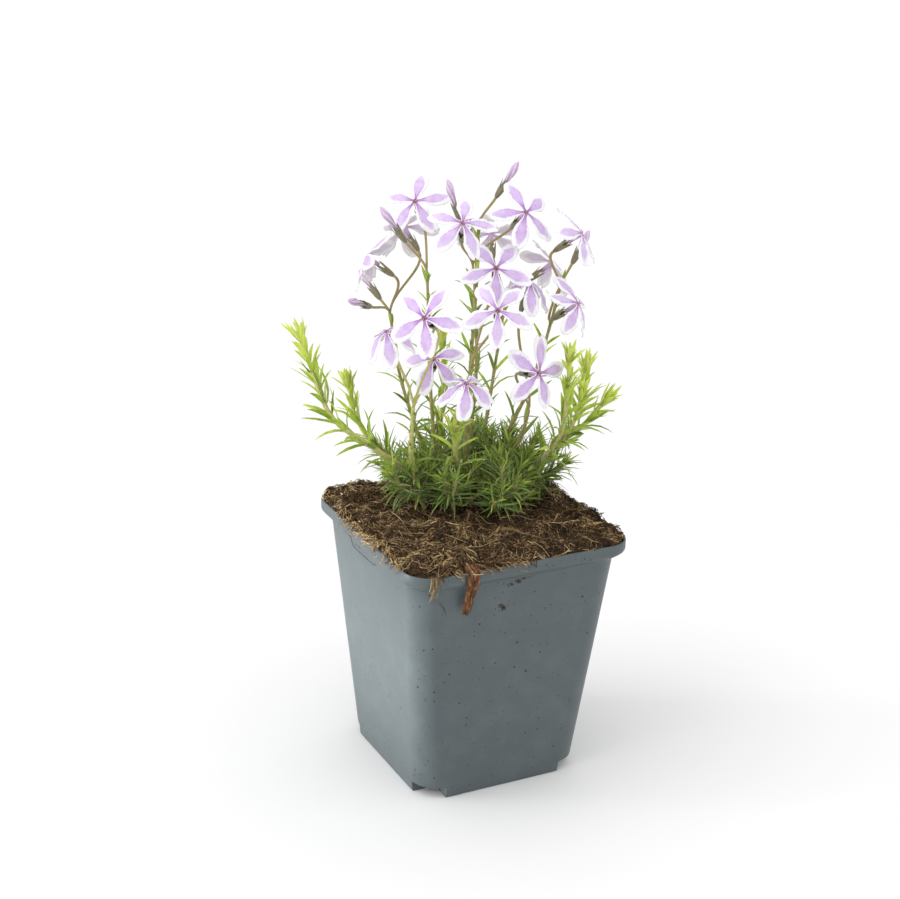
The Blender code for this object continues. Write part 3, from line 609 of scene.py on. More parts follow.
def points_of(obj: bpy.types.Object) -> np.ndarray:
    """The places of a mesh's points."""
    found = np.empty(len(obj.data.vertices) * 3)
    obj.data.vertices.foreach_get("co", found)
    return found.reshape(-1, 3)


def move_points(obj: bpy.types.Object, places: np.ndarray) -> None:
    """Moves every point of a mesh."""
    obj.data.vertices.foreach_set("co", places.ravel())
    obj.data.update()


def mark(obj: bpy.types.Object, **values: np.ndarray) -> None:
    """Gives a mesh numbers at its points, under the names that the finishes read."""
    for name, numbers in values.items():
        layer = obj.data.attributes.new(name, "FLOAT", "POINT")
        layer.data.foreach_set("value", np.ascontiguousarray(numbers, np.float32).ravel())


def paint(obj: bpy.types.Object, *finishes: Finish) -> bpy.types.Object:
    """Gives an object its materials and no others."""
    obj.data.materials.clear()
    for finish in finishes:
        obj.data.materials.append(material(finish))
    return obj


def fluted(around: int, depth: float) -> list[tuple[float, float]]:
    """A circle of points with as many ribs as a flower has petals, of a given depth."""
    turns = np.arange(around) * math.tau / around
    ribs = 1 + depth * np.cos(PETAL_COUNT * turns)
    return list(zip(ribs * np.cos(turns), ribs * np.sin(turns)))


def draw_out(
    name: str, section: Sequence[tuple[float, float]], stations: Sequence[tuple]
) -> bpy.types.Object:
    """A closed form drawn out of one flat section, ring by ring.

    Args:
        name: The object's name.
        section: Points (x, y) round the section, for a size of one.
        stations: (height, size) or (height, size, turn in degrees) of each ring. A size of zero is a point.

    Returns:
        The mesh object, standing on its first ring.
    """
    obj = add("circle", name, vertices=len(section), radius=1, fill_type="NGON")
    height, size = stations[0][:2]
    move_points(obj, np.array([(x * size, y * size, height) for x, y in section]))
    with all_selected():
        for high, wide, *turn in stations[1:]:
            bpy.ops.mesh.extrude_region_move(TRANSFORM_OT_translate={"value": (0, 0, high - height)})
            height = high
            if wide == 0:
                bpy.ops.mesh.merge(type="CENTER")
                break
            middle = (0, 0, height)
            bpy.ops.transform.resize(value=(wide / size, wide / size, 1), center_override=middle)
            if turn:
                twist = math.radians(turn[0])
                bpy.ops.transform.rotate(value=twist, orient_axis="Z", center_override=middle)
            size = wide
        bpy.ops.mesh.select_all(action="SELECT")
        bpy.ops.mesh.normals_make_consistent(inside=False)
    return obj


def loft(name: str, rings: Sequence[tuple[float, float, float]], segments: int) -> bpy.types.Object:
    """A closed form bridged through rounded squares.

    Args:
        name: The object's name.
        rings: (height, half width, corner radius) of each, from low to high, in metres.
        segments: Steps round each corner.

    Returns:
        The mesh object, at the origin.
    """
    made = []
    for height, half, corner in rings:
        made.append(add("plane", name, size=2 * half, location=(0, 0, height)))
        with all_selected():
            bpy.ops.mesh.bevel(offset=corner, segments=segments, affect="VERTICES")
            bpy.ops.mesh.delete(type="ONLY_FACE")
    obj = join(name, made)
    heights = [ring[0] for ring in rings]
    for low, high in zip(heights, heights[1:]):
        pick(obj, lambda z, a=low, b=high: min(abs(z - a), abs(z - b)) < SAME_HEIGHT)
        bpy.ops.mesh.bridge_edge_loops()
        edit(False)
    for end in (heights[0], heights[-1]):
        pick(obj, lambda z, a=end: abs(z - a) < SAME_HEIGHT)
        bpy.ops.mesh.edge_face_add()
        edit(False)
    with all_selected():
        bpy.ops.mesh.normals_make_consistent(inside=False)
    return obj


def pick(obj: bpy.types.Object, wanted: Callable[[float], bool]) -> None:
    """Goes into edit mode with the points selected whose height is wanted."""
    take(obj)
    edit(True)
    bpy.ops.mesh.select_mode(type="VERT")
    bpy.ops.mesh.select_all(action="DESELECT")
    edit(False)
    for vertex in obj.data.vertices:
        vertex.select = wanted(vertex.co.z)
    edit(True)


@dataclass
class Stamp:
    """A shape modelled once and kept as arrays, so that copies of it can be pressed."""

    points: np.ndarray
    faces: list[tuple[int, ...]]
    numbers: dict[str, np.ndarray] = field(default_factory=dict)

    @classmethod
    def cut(cls, obj: bpy.types.Object, **numbers: np.ndarray) -> "Stamp":
        """Takes the shape of an object, and removes the object."""
        made = cls(points_of(obj), [tuple(p.vertices) for p in obj.data.polygons], numbers)
        bpy.data.objects.remove(obj)
        return made

    def press(self, name: str, places: np.ndarray, **numbers: np.ndarray) -> bpy.types.Object:
        """Presses copies into one mesh.

        Args:
            name: The object's name.
            places: The points of every copy, one row of points a copy.
            numbers: What each copy carries at all its points.

        Returns:
            The mesh object.
        """
        copies, count = places.shape[:2]
        mesh = bpy.data.meshes.new(name)
        faces = [tuple(i + count * k for i in face) for k in range(copies) for face in self.faces]
        mesh.from_pydata(places.reshape(-1, 3), [], faces)
        obj = bpy.data.objects.new(name, mesh)
        bpy.context.scene.collection.objects.link(obj)
        mark(obj, **{k: np.tile(v, copies) for k, v in self.numbers.items()})
        mark(obj, **{k: np.repeat(v, count) for k, v in numbers.items()})
        return obj


@dataclass
class Strands:
    """Round strands gathered for one piece, with the numbers that they carry.

    The smoothness is a bevel's resolution: 0 gives a strand four sides and 2 gives it eight.
    """

    smoothness: int = 0
    lines: list[np.ndarray] = field(default_factory=list)
    radii: list[np.ndarray] = field(default_factory=list)
    numbers: dict[str, list[np.ndarray]] = field(default_factory=dict)

    def add(self, line: np.ndarray, widths: np.ndarray, **numbers: float | np.ndarray) -> None:
        """Keeps a strand: its points, the radius at each of them, and what it carries there."""
        self.lines.append(line)
        self.radii.append(widths)
        for key, value in numbers.items():
            self.numbers.setdefault(key, []).append(np.broadcast_to(value, len(line)))

    def bind(self, name: str, finish: Finish) -> bpy.types.Object:
        """Models them as one bevelled curve, turns it into a mesh and welds the ends drawn to a point.

        Args:
            name: The piece's name.
            finish: Its finish.

        Returns:
            The mesh object.
        """
        curve = bpy.data.curves.new(name, "CURVE")
        curve.dimensions = "3D"
        curve.bevel_depth = 1
        curve.bevel_resolution = self.smoothness
        for line, widths in zip(self.lines, self.radii):
            spline = curve.splines.new("POLY")
            spline.points.add(len(line) - 1)
            places = np.column_stack((line, np.ones(len(line)))).astype(np.float32)
            spline.points.foreach_set("co", places.ravel())
            spline.points.foreach_set("radius", np.asarray(widths, np.float32))
        obj = bpy.data.objects.new(name, curve)
        bpy.context.scene.collection.objects.link(obj)
        take(obj)
        bpy.ops.object.convert(target="MESH")
        obj = fresh(name)
        obj.data.uv_layers.remove(obj.data.uv_layers[0])
        sides = 4 + 2 * self.smoothness
        mark(obj, **{key: np.repeat(np.concatenate(rows), sides) for key, rows in self.numbers.items()})
        smooth(obj)
        with all_selected():
            bpy.ops.mesh.remove_doubles(threshold=WELD)
        return paint(obj, finish)


# Sizes shared by pot, soil and plant.

POT_HEIGHT = 97 * MM
RIM_HALF = 45 * MM
RIM_CORNER = 10 * MM
NECK_HALF = 42 * MM
NECK_HEIGHT = 90 * MM
BASE_HALF = 33.3 * MM
BODY_CORNER = 11 * MM
TAPER = (NECK_HALF - BASE_HALF) / NECK_HEIGHT
FLARE_START = 0.7 * MM
FLARE_HEIGHT = 4.2 * MM
WALL = 0.8 * MM
GAP = 0.3 * MM
SOIL_EDGE = 97.6 * MM
SOIL_RISE = 3.4 * MM
SOIL_INSIDE = 43.5 * MM
RIM_START = 43.8 * MM
RIM_END = 44.9 * MM
HOLLOW_PLACE = 57.2 * MM
HOLLOW_DEPTH = 4.2 * MM
HOLLOW_WIDE = 3.0 * MM
HOLLOW_LONG = 6.0 * MM


def soil_height(x: float, y: float) -> float:
    """Height of the soil's mound at a place, as the CAD has it."""
    edge = np.minimum(1.0, np.maximum(np.abs(x), np.abs(y)) / RIM_HALF)
    lumps = 0.9 * np.sin(x * 210 + 1.3) * np.cos(y * 170 - 0.4)
    lumps = lumps + 0.6 * np.sin(x * 390 - y * 300) + 0.5 * np.cos(y * 520 + x * 90)
    return SOIL_EDGE + SOIL_RISE * (1 - edge**2) + lumps * MM


def hollow(places: np.ndarray) -> np.ndarray:
    """How far the soil has sunk at each (x, y), beside the rim's front corner."""
    out, aside = (places @ ((1, 1), (1, -1))).T / math.sqrt(2)
    return HOLLOW_DEPTH * np.exp(-(((out + HOLLOW_PLACE) / HOLLOW_WIDE) ** 2) - (aside / HOLLOW_LONG) ** 2)


def ground(places: np.ndarray) -> np.ndarray:
    """Height of the crumbly surface of the soil at each (x, y), sunk at the front corner."""
    crumbs = [
        noise.fractal(Vector((x * 160, y * 160, 0.3)), 0.9, 2.1, 4) * 1.1
        + noise.fractal(Vector((x * 620, y * 620, 5.1)), 0.8, 2.0, 2) * 0.45
        for x, y in places
    ]
    return soil_height(places[:, 0], places[:, 1]) + np.array(crumbs) * MM - hollow(places)


def edge_of(places: np.ndarray) -> np.ndarray:
    """Half the width of the rim-shaped square that passes through each place."""
    straight = RIM_HALF - RIM_CORNER
    past = np.maximum(np.abs(places) - straight, 0)
    return np.where(past.all(1), straight + np.hypot(past[:, 0], past[:, 1]), np.abs(places).max(1))


def reach(angle: np.ndarray, half: float, corner: float) -> np.ndarray:
    """How far a rounded square goes out from its middle in each direction."""
    out = np.column_stack((np.abs(np.cos(angle)), np.abs(np.sin(angle))))
    side = half / out.max(1)
    inner = half - corner
    dot = out.sum(1) * inner
    arc = dot + np.sqrt(np.maximum(dot**2 - 2 * inner**2 + corner**2, 0))
    return np.where(side * out.min(1) <= inner, side, arc)


def lerp(a: float, b: float, share: float) -> float:
    """A value part of the way from a to b."""
    return a + (b - a) * share


def ease(share: float) -> float:
    """A share from 0 to 1 that starts and ends gently."""
    return share * share * (3 - 2 * share)


@dataclass
class Pot:
    """The square nursery pot: a thin shell with a flared rim and cut-up base corners."""

    segments: int = 10
    flare_steps: int = 7
    flare_inset: float = 0.07 * MM
    foot: tuple = ((0.0, 0.45), (0.15, 0.18), (0.45, 0.0))
    body: tuple[float, float, int] = (12, 86, 4)
    rim: tuple = ((94.6, 45), (96.5, 45), (96.82, 44.93), (97.0, 44.72))
    lip: tuple = ((94.6, 44.2), (96.5, 44.2), (96.85, 44.27), (97.3, 44.6))
    notch_side: float = 9.5 * MM
    notch_height: float = 4.5 * MM
    notch_rounding: float = 0.7 * MM
    cutter_margin: float = 4 * MM
    drain_radius: float = 2.4 * MM
    drain_inset: float = 5 * MM
    drain_depth: float = 6 * MM
    sharp: float = 28
    # The tab's outline and marks, drawn as thin dark painted shadow lines.
    tab: tuple = (
        (15.6, 94.2), (15.6, 92.6), (15.5, 91), (15.4, 89.4), (15.2, 88), (14.6, 86.9), (13.4, 86.4),
        (10, 86.2), (5, 86.2), (0, 86.2), (-4.6, 86.4), (-5.8, 86.9), (-6.4, 88),
    )
    tab_marks: tuple = (((12.2, 88.2), (11.2, 88.1), (10.4, 88.3)), ((8.8, 88.6), (8.4, 88.0), (7.6, 88.2)))
    tab_radius: float = 0.11 * MM
    tab_shade: float = 0.3

    def shell(self, inset: float, top: Sequence[tuple[float, float]]) -> list[tuple[float, float, float]]:
        """Rings of the wall, drawn in by an inset, below a top given as (height, half width)."""
        rings = []
        for height, less in self.foot:
            z = inset + height * MM
            rings.append((z, BASE_HALF + TAPER * z - inset - less * MM, BODY_CORNER - inset))
        for z in np.linspace(*self.body) * MM:
            rings.append((z, BASE_HALF + TAPER * z - inset, BODY_CORNER - inset))
        for share in np.arange(self.flare_steps + 1) / self.flare_steps:
            z = NECK_HEIGHT - FLARE_START + FLARE_HEIGHT * share
            half = NECK_HALF - self.flare_inset + (RIM_HALF - NECK_HALF + self.flare_inset) * ease(share)
            rings.append((z, half - inset, lerp(BODY_CORNER, RIM_CORNER, ease(share)) - inset))
        return rings + [(z * MM, half * MM, RIM_CORNER - inset) for z, half in top]

    def corners(self, name: str, side: float, top: float) -> bpy.types.Object:
        """Four blocks at the base's corners, their upright edges rounded."""
        below = self.cutter_margin
        middle = BASE_HALF - side + (side + below) / 2
        blocks = []
        for sign_x, sign_y in itertools.product((-1, 1), repeat=2):
            place = (sign_x * middle, sign_y * middle, (top - below) / 2)
            block = add("cube", name, size=1, location=place)
            block.scale = (side + below, side + below, top + below)
            take(block)
            bpy.ops.object.transform_apply(location=True, scale=True)
            with all_selected():
                bpy.ops.mesh.bevel(offset=self.notch_rounding, segments=3, affect="EDGES")
            blocks.append(block)
        return join(name, blocks)

    def drains(self) -> bpy.types.Object:
        """The plugs that cut the drainage holes."""
        out = BASE_HALF - self.drain_inset
        plugs = []
        for sign_x, sign_y in itertools.product((-1, 1), repeat=2):
            place = (sign_x * out, sign_y * out, self.notch_height)
            size = {"radius": self.drain_radius, "depth": self.drain_depth}
            plugs.append(add("cylinder", "drain", vertices=24, location=place, **size))
        return join("drains", plugs)

    def build(self) -> bpy.types.Object:
        """The shell, cut out of its outer form."""
        outer = loft("pot_shell", self.shell(0, self.rim), self.segments)
        inner = loft("inside", self.shell(WALL, self.lip), self.segments)
        steps = self.corners("steps", self.notch_side + WALL, self.notch_height + WALL)
        notches = self.corners("notches", self.notch_side, self.notch_height)
        drains = self.drains()
        apply(inner, "BOOLEAN", operation="DIFFERENCE", object=steps, solver="EXACT")
        for cutter in (inner, notches, drains):
            apply(outer, "BOOLEAN", operation="DIFFERENCE", object=cutter, solver="EXACT")
        for cutter in (inner, steps, notches, drains):
            bpy.data.objects.remove(cutter)
        return smooth(paint(outer, Finish.PLASTIC), self.sharp)

    @staticmethod
    def face(height: float) -> float:
        """How far the outside of a wall stands from the pot's middle, at a height in millimetres."""
        z = height * MM
        share = min(1.0, max(0.0, (z - NECK_HEIGHT + FLARE_START) / FLARE_HEIGHT))
        return lerp(BASE_HALF + TAPER * min(z, NECK_HEIGHT), RIM_HALF, ease(share))

    def tab_outline(self) -> bpy.types.Object:
        """Painted shadow lines: thin dark strands along the faint outline of a moulded tab under the rim on
        one side, and along its marks, standing in for the shade in its moulded edges.
        """
        outline = Strands()
        proud = 0.02 * MM
        for line in (self.tab, *self.tab_marks):
            places = np.array([(-self.face(z) - proud, y * MM, z * MM) for y, z in line])
            widths = np.full(len(line), self.tab_radius)
            widths[[0, -1]] = 0
            # Painted shadow: a dark brown tint of the fibre finish stands in for the shade along the
            # moulded edge.
            outline.add(places, widths, tint=self.tab_shade)
        return outline.bind("pot_tab_outline", Finish.FIBRE)


@dataclass(frozen=True)
class Strew:
    """How strands of one kind fall.

    Reach and lengths are in millimetres, and the shades are the two shapes of a beta draw, or for long
    strands the range that theirs come from.
    """

    count: int
    reach: float
    lengths: tuple[float, float]
    shades: tuple[float, float]
    bend: float

    def place(self, rng: random.Random) -> tuple[float, float]:
        """Somewhere within reach."""
        return rng.uniform(-self.reach, self.reach), rng.uniform(-self.reach, self.reach)


@dataclass
class SoilBed:
    """The soil: a crumbly mound with fibres, crumbs and shreds lying in it and over the rim."""

    cells: int = 170
    base: float = 6 * MM
    clumps: Strew = Strew(620, 44, (1.4, 5.2), (2.0, 2.0), 0.6)
    loose: Strew = Strew(460, 45, (3, 13), (2.4, 1.7), 0.35)
    long: Strew = Strew(46, 36, (11, 24), (0.62, 1), 0.2)
    spilt: Strew = Strew(640, 37, (1.2, 4.6), (3.0, 1.9), 0.6)
    short: Strew = Strew(9000, 44.4, (0.7, 3.4), (2.0, 2.6), 0.7)
    clump_sizes: tuple[int, int] = (4, 12)
    clump_spread: float = 1.3
    rim_band: tuple[float, float] = (43.2, 45.6)
    rim_sides: tuple[int, ...] = (0, 0, 0, 1, 1, 2, 3)
    rim_ends: tuple[int, ...] = (24, 4, 40, 40)
    long_enough: float = 13
    long_lift: float = 2.5
    thick_long: tuple = (0.13, 0.16, 0.2)
    thick_short: tuple = (0.06, 0.07, 0.09, 0.12, 0.16, 0.22)
    thick_shred: tuple = (0.05, 0.07, 0.1, 0.15)
    crumbs: int = 4200
    crumb_shapes: tuple = (1, 1, 1.4, 2.2, 3.4, 4.6)
    widest: float = 45
    ripe: float = 30
    sunk: float = 0.9 * MM
    hanging: int = 16
    clods: tuple = (
        (-5, 87.8), (-2.6, 88.8), (-2, 88.4), (0.4, 89.4), (2.8, 90), (5.4, 90.4), (8, 90.6),
        (-8.6, 80), (-7, 78.8), (-8, 79.4), (-7.6, 78.2),
    )
    clod_bits: int = 14
    hair: tuple = ((-33.6, 86.4), (-32.9, 85), (-32, 83.4), (-31, 81.6), (-29.8, 80))
    bark_place: tuple[float, float, float] = (-22.6, -43.0, 99.2)
    bark_length: float = 18.6
    bark_half: float = 2.5

    def mound(self) -> bpy.types.Object:
        """The soil's body, from a crumbly top down to the floor of the pot."""
        inset = WALL + GAP
        half, corner, body = RIM_HALF - inset, RIM_CORNER - inset, BODY_CORNER - inset
        obj = add("grid", "soil_mound", x_subdivisions=self.cells, y_subdivisions=self.cells, size=2)
        flat = points_of(obj)[:, :2]
        ring = np.abs(flat).max(1)
        angle = np.arctan2(flat[:, 1], flat[:, 0])
        square = 1 / np.maximum(np.abs(np.cos(angle)), np.abs(np.sin(angle)))
        pull = reach(angle, half, corner) / (half * square) - 1
        flat = flat * half * (1 + pull * ring**6)[:, None]
        move_points(obj, np.column_stack((flat, ground(flat))))
        levels = (
            (half, corner, 93.6 * MM),
            (NECK_HALF - inset - 0.1 * MM, body, 89.2 * MM),
            (BASE_HALF + TAPER * self.base - inset, body, self.base),
        )
        take(obj)
        edit(True)
        bpy.ops.mesh.select_mode(type="EDGE")
        bpy.ops.mesh.select_all(action="DESELECT")
        bpy.ops.mesh.select_non_manifold()
        for wide, rounding, height in levels:
            bpy.ops.mesh.extrude_region_move(TRANSFORM_OT_translate={"value": (0, 0, -1 * MM)})
            edit(False)
            for vertex in obj.data.vertices:
                if vertex.select:
                    turn = np.array([math.atan2(vertex.co.y, vertex.co.x)])
                    out = float(reach(turn, wide, rounding)[0])
                    vertex.co = (out * math.cos(turn[0]), out * math.sin(turn[0]), height)
            edit(True)
        bpy.ops.mesh.edge_face_add()
        with all_selected():
            bpy.ops.mesh.normals_make_consistent(inside=False)
        return smooth(paint(obj, Finish.SOIL))

    @staticmethod
    def lay(places: np.ndarray, lift: np.ndarray, droop: float = 1.0) -> np.ndarray:
        """Points that lie on the soil, or over the rim and a little down where they pass it."""
        edge = edge_of(places)
        inner = places * np.minimum(1, SOIL_INSIDE / np.maximum(edge, 1e-9))[:, None]
        height = ground(inner) + lift
        over = np.maximum(0, edge - RIM_START)
        rim = np.maximum(POT_HEIGHT + 0.15 * MM + lift * 0.6, height - over * 0.6)
        height = np.where(edge > RIM_START, rim, height)
        return np.column_stack((places, height - np.maximum(0, edge - RIM_END) * droop))

    @staticmethod
    def limit(places: np.ndarray) -> np.ndarray:
        """How far out a strand may lie: past the rim where soil has spilt, just onto it elsewhere."""
        x, y = places.T / MM
        spilt = ((x < -40) & (y < 22)) | ((y < -40) & (x < 3))
        corner = (x < -30) & (np.abs(x - y) < 8)
        return np.where(corner, 40.0, np.where(spilt, 46.3, 44.6)) * MM

    def is_sunk(self, x: float, y: float) -> bool:
        """Whether a place, in millimetres, lies in the hollow at the front corner."""
        return hollow(np.array(((x, y),)) * MM)[0] > self.sunk

    @staticmethod
    def patches_and_painted_light(x: float, y: float) -> float:
        """How much lighter the soil is at a place in millimetres: dark in patches, lighter to the left as
        painted light from the lamps' side, and darker in the hollow at the front corner as painted shade.
        """
        # Painted light: lighter towards -x, the lamps' side. Painted shade: darker where the soil sinks in
        # the front corner's hollow.
        sunk = hollow(np.array(((x, y),)) * MM)[0] / HOLLOW_DEPTH
        return 0.26 * noise.noise(Vector((x * 0.12, y * 0.12, 4.0))) - 0.0018 * x - 0.7 * sunk

    def from_crown(self, x: float, y: float) -> float:
        """How far a place, in millimetres, is from the crown, from 0 to 1."""
        return min(1.0, math.hypot(x - 4, y - 4) / self.ripe)

    @staticmethod
    def shade(value: float) -> float:
        """A shade kept between nearly black and the lightest straw."""
        return min(1, max(0.02, value))

    def fibre(
        self,
        rng: random.Random,
        start: tuple[float, float],
        turn: float,
        length: float,
        bend: float,
        steps: int,
    ) -> np.ndarray:
        """One strand's points, curving over the soil from a place.

        Args:
            rng: The source of its chances.
            start: Where it begins, in millimetres.
            turn: Its direction there.
            length: How long it is, in millimetres.
            bend: How far it tends to turn over its length.
            steps: How many points it has.

        Returns:
            Its points, in metres.
        """
        turns = turn + rng.gauss(0, bend) * np.linspace(0, 1, steps - 1)
        ways = np.column_stack((np.cos(turns), np.sin(turns))) * length / (steps - 1)
        places = (np.array(start) + np.vstack((np.zeros(2), np.cumsum(ways, axis=0)))) * MM
        places *= np.minimum(1, self.limit(places) / edge_of(places))[:, None]
        share = np.linspace(0, 1, steps)
        lift = rng.uniform(-0.2, 0.5) * MM + abs(rng.gauss(0, 0.45)) * MM * np.sin(math.pi * share)
        lift = lift + rng.gauss(0, 0.35) * MM * (share - 0.5)
        return self.lay(places, lift, abs(rng.gauss(0, 1.1)))

    def beginnings(self, rng: random.Random) -> Iterator[tuple[float, ...]]:
        """Each strand's start in millimetres, x and y, then its turn, length, shade and bend."""
        kind = self.clumps
        for _ in range(kind.count):
            x, y = kind.place(rng)
            turn, shade = rng.uniform(0, math.tau), rng.betavariate(*kind.shades)
            for _ in range(rng.randint(*self.clump_sizes)):
                place = (x + rng.gauss(0, self.clump_spread), y + rng.gauss(0, self.clump_spread))
                way, length = turn + rng.gauss(0, 0.5), rng.uniform(*kind.lengths)
                yield *place, way, length, shade + rng.gauss(0, 0.13), kind.bend
        for kind, draw in ((self.loose, rng.betavariate), (self.long, rng.uniform)):
            for _ in range(kind.count):
                place, turn = kind.place(rng), rng.uniform(0, math.tau)
                yield *place, turn, rng.uniform(*kind.lengths), draw(*kind.shades), kind.bend
        kind = self.spilt
        for _ in range(kind.count):
            side = rng.choice(self.rim_sides)
            along, out = rng.uniform(-kind.reach, self.rim_ends[side]), rng.uniform(*self.rim_band)
            x, y = ((-out, along), (along, -out), (out, along), (along, out))[side]
            turn = (math.pi / 2, 0)[side % 2] + rng.gauss(0, 0.8)
            yield x, y, turn, rng.uniform(*kind.lengths), rng.betavariate(*kind.shades), kind.bend

    def fibres(self) -> bpy.types.Object:
        """Shredded fibres: clumps of near-parallel ones, single and long ones, and those on the rim."""
        rng = random.Random(71)
        steps = 5
        fibres = Strands()
        for x, y, turn, length, shade, bend in self.beginnings(rng):
            # How far from the crown: fewer fibres near it, and their tint darker there as painted shade
            # under the plant.
            middle = self.from_crown(x, y)
            if rng.random() > 0.4 + 0.7 * middle or self.is_sunk(x, y):
                continue
            line = self.fibre(rng, (x, y), turn, length, bend, steps)
            is_long = length > self.long_enough
            thick = rng.choice(self.thick_long if is_long else self.thick_short) * MM
            line[:, 2] += thick * (self.long_lift if is_long else 0)
            widths = thick * (1 - np.abs(np.linspace(-0.85, 0.85, steps)) ** 3)
            widths[[0, -1]] = 0
            # The tint takes the soil's patches, with painted light on the left and painted shade in the
            # corner hollow.
            fibres.add(line, widths, tint=self.shade(shade * (0.66 + 0.38 * middle) + self.patches_and_painted_light(x, y)))
        return fibres.bind("soil_fibres", Finish.FIBRE)

    def shreds(self) -> bpy.types.Object:
        """The short fine bits between the fibres, darker towards the crown as painted shade under the
        plant.
        """
        rng = random.Random(74)
        shreds = Strands()
        kind, steps = self.short, 4
        for _ in range(kind.count):
            x, y = kind.place(rng)
            if self.is_sunk(x, y):
                continue
            turn, length = rng.uniform(0, math.tau), rng.uniform(*kind.lengths)
            line = self.fibre(rng, (x, y), turn, length, kind.bend, steps)
            thick = rng.choice(self.thick_shred) * MM
            # Painted shade: darker towards the crown, under the plant.
            shade = rng.betavariate(*kind.shades) * (0.62 + 0.42 * self.from_crown(x, y))
            widths = np.array((0, thick, thick * 0.8, 0))
            # The tint takes the soil's patches, with painted light on the left and painted shade in the
            # corner hollow.
            shreds.add(line, widths, tint=self.shade(shade + self.patches_and_painted_light(x, y)))
        return shreds.bind("soil_shreds", Finish.FIBRE)

    def scatter(self) -> bpy.types.Object:
        """Crumbs and chips of peat on the mound, a few of them on the rim."""
        rng = random.Random(72)
        lump = add("ico_sphere", "crumb", subdivisions=1, radius=1)
        with all_selected():
            bpy.ops.transform.vertex_random(offset=0.28, seed=5)
        stamp = Stamp.cut(lump)
        spots, frames, tints = [], [], []
        for _ in range(self.crumbs):
            spots.append(tuple(rng.uniform(-self.widest, self.widest) * MM for _ in range(2)))
            size = math.exp(rng.gauss(-0.95, 0.4)) * MM * rng.choice((*(1,) * 30, 1.8))
            drawn = rng.choice(self.crumb_shapes)
            turn = Matrix.Rotation(rng.uniform(0, math.tau), 3, "Z")
            turn = turn @ Matrix.Rotation(rng.gauss(0, 0.35), 3, "Y")
            narrow = size / drawn**0.4
            stretch = Matrix.Diagonal((size * drawn, narrow, narrow * 0.6))
            frames.append(np.array(turn @ stretch))
            shade = rng.betavariate(1.5, 3.6) + (0.22 if drawn > 2 else 0)
            x, y = spots[-1]
            # The tint takes the soil's patches, with painted light on the left and painted shade in the
            # corner hollow.
            tints.append(min(1, max(0, shade + self.patches_and_painted_light(x / MM, y / MM))))
        lifts = np.array([rng.uniform(-0.1, 0.35) * MM for _ in spots])
        centres = self.lay(np.array(spots), lifts)
        keep = edge_of(centres[:, :2]) < 44.3 * MM
        places = centres[:, None, :] + stamp.points @ np.array(frames).transpose(0, 2, 1)
        made = stamp.press("soil_crumbs", places[keep], tint=np.array(tints)[keep])
        return paint(made, Finish.CRUMB)

    def clod_bit(self, rng: random.Random, x: float, z: float) -> np.ndarray:
        """One bit of a clod on the front wall, near a place given in millimetres."""
        a, b = x + rng.gauss(0, 0.75), z + rng.gauss(0, 0.36)
        turn, size = rng.uniform(0, math.pi), rng.uniform(0.08, 0.4) + 0.5 * rng.random() ** 5
        line = []
        for t in np.linspace(-1, 1, 4):
            height = (b + math.sin(turn) * size * t) * MM
            out = -(BASE_HALF + TAPER * height) - rng.uniform(0.02, 0.2) * MM
            line.append(((a + math.cos(turn) * size * t + rng.gauss(0, 0.04)) * MM, out, height))
        return np.array(line)

    def wall_bits(self) -> bpy.types.Object:
        """Small clods and a hair on the outside under the rim, and strands that hang over it."""
        rng = random.Random(73)
        bits = Strands()
        for x, z in self.clods:
            for _ in range(self.clod_bits):
                line = self.clod_bit(rng, x, z)
                widths = np.array((0.02, 0.13, 0.15, 0.02)) * MM * rng.uniform(0.4, 1.1)
                bits.add(line, widths, tint=rng.uniform(0.1, 0.6))
        x, z = np.array(self.hair).T
        wall = BASE_HALF + TAPER * z * MM + 0.06 * MM
        hair = np.column_stack(((x + 0.4 * np.sin(z)) * MM, -wall, z * MM))
        bits.add(hair, np.array((0, 0.09, 0.1, 0.08, 0)) * MM, tint=0.2)
        t = np.linspace(0, 1, 6)
        top, lip, bend = 98.2, 44.6, 94
        for _ in range(self.hanging):
            x, low = rng.uniform(-38.5, -35.5), rng.uniform(86.5, 93)
            z = top - t * (top - low)
            out = lip + 0.9 * np.sin(t * 2.6) - np.maximum(0, bend - z) * 0.28
            line = np.column_stack((x + t * rng.gauss(0, 1.2), -out, z)) * MM
            widths = np.array((0, 0.1, 0.12, 0.12, 0.09, 0)) * MM
            bits.add(line, widths, tint=rng.uniform(0.5, 0.9))
        return bits.bind("wall_bits", Finish.FIBRE)

    def bark(self) -> bpy.types.Object:
        """A shred of bark that hangs out of the soil over the rim."""
        obj = add("grid", "bark_shred", x_subdivisions=8, y_subdivisions=26, size=2)
        left, front, top = self.bark_place
        places = []
        lip_height, lip_width, below_lip, tuck = 3.6, 2.9, 95.5, 0.16
        for u, v, _ in points_of(obj):
            t = (1 - v) / 2
            torn = 1.6 * noise.noise(Vector((u * 3.1, 0.4, 2.2))) * t**4
            z = top - self.bark_length * t + torn
            over = min(1.0, max(0.0, (top - z) / lip_height))
            y = front - lip_width * ease(over) + max(0.0, below_lip - z) * tuck
            uneven = 1 + 0.18 * noise.noise(Vector((0.3, t * 6, 1.0)))
            wide = self.bark_half * (1 - 0.45 * max(0, t - 0.25)) * uneven
            curl = 0.7 * (1 - u * u) * min(1, t * 3)
            rough = 0.35 * noise.fractal(Vector((u * 2.2, t * 9, 0.7)), 0.8, 2.0, 3)
            places.append((left - 0.8 * t + u * wide + 0.4 * math.sin(t * 5), y - curl - rough, z))
        move_points(obj, np.array(places) * MM)
        apply(obj, "SOLIDIFY", thickness=0.5 * MM, offset=0)
        return smooth(paint(obj, Finish.BARK), 50)


# Where the plant grows.

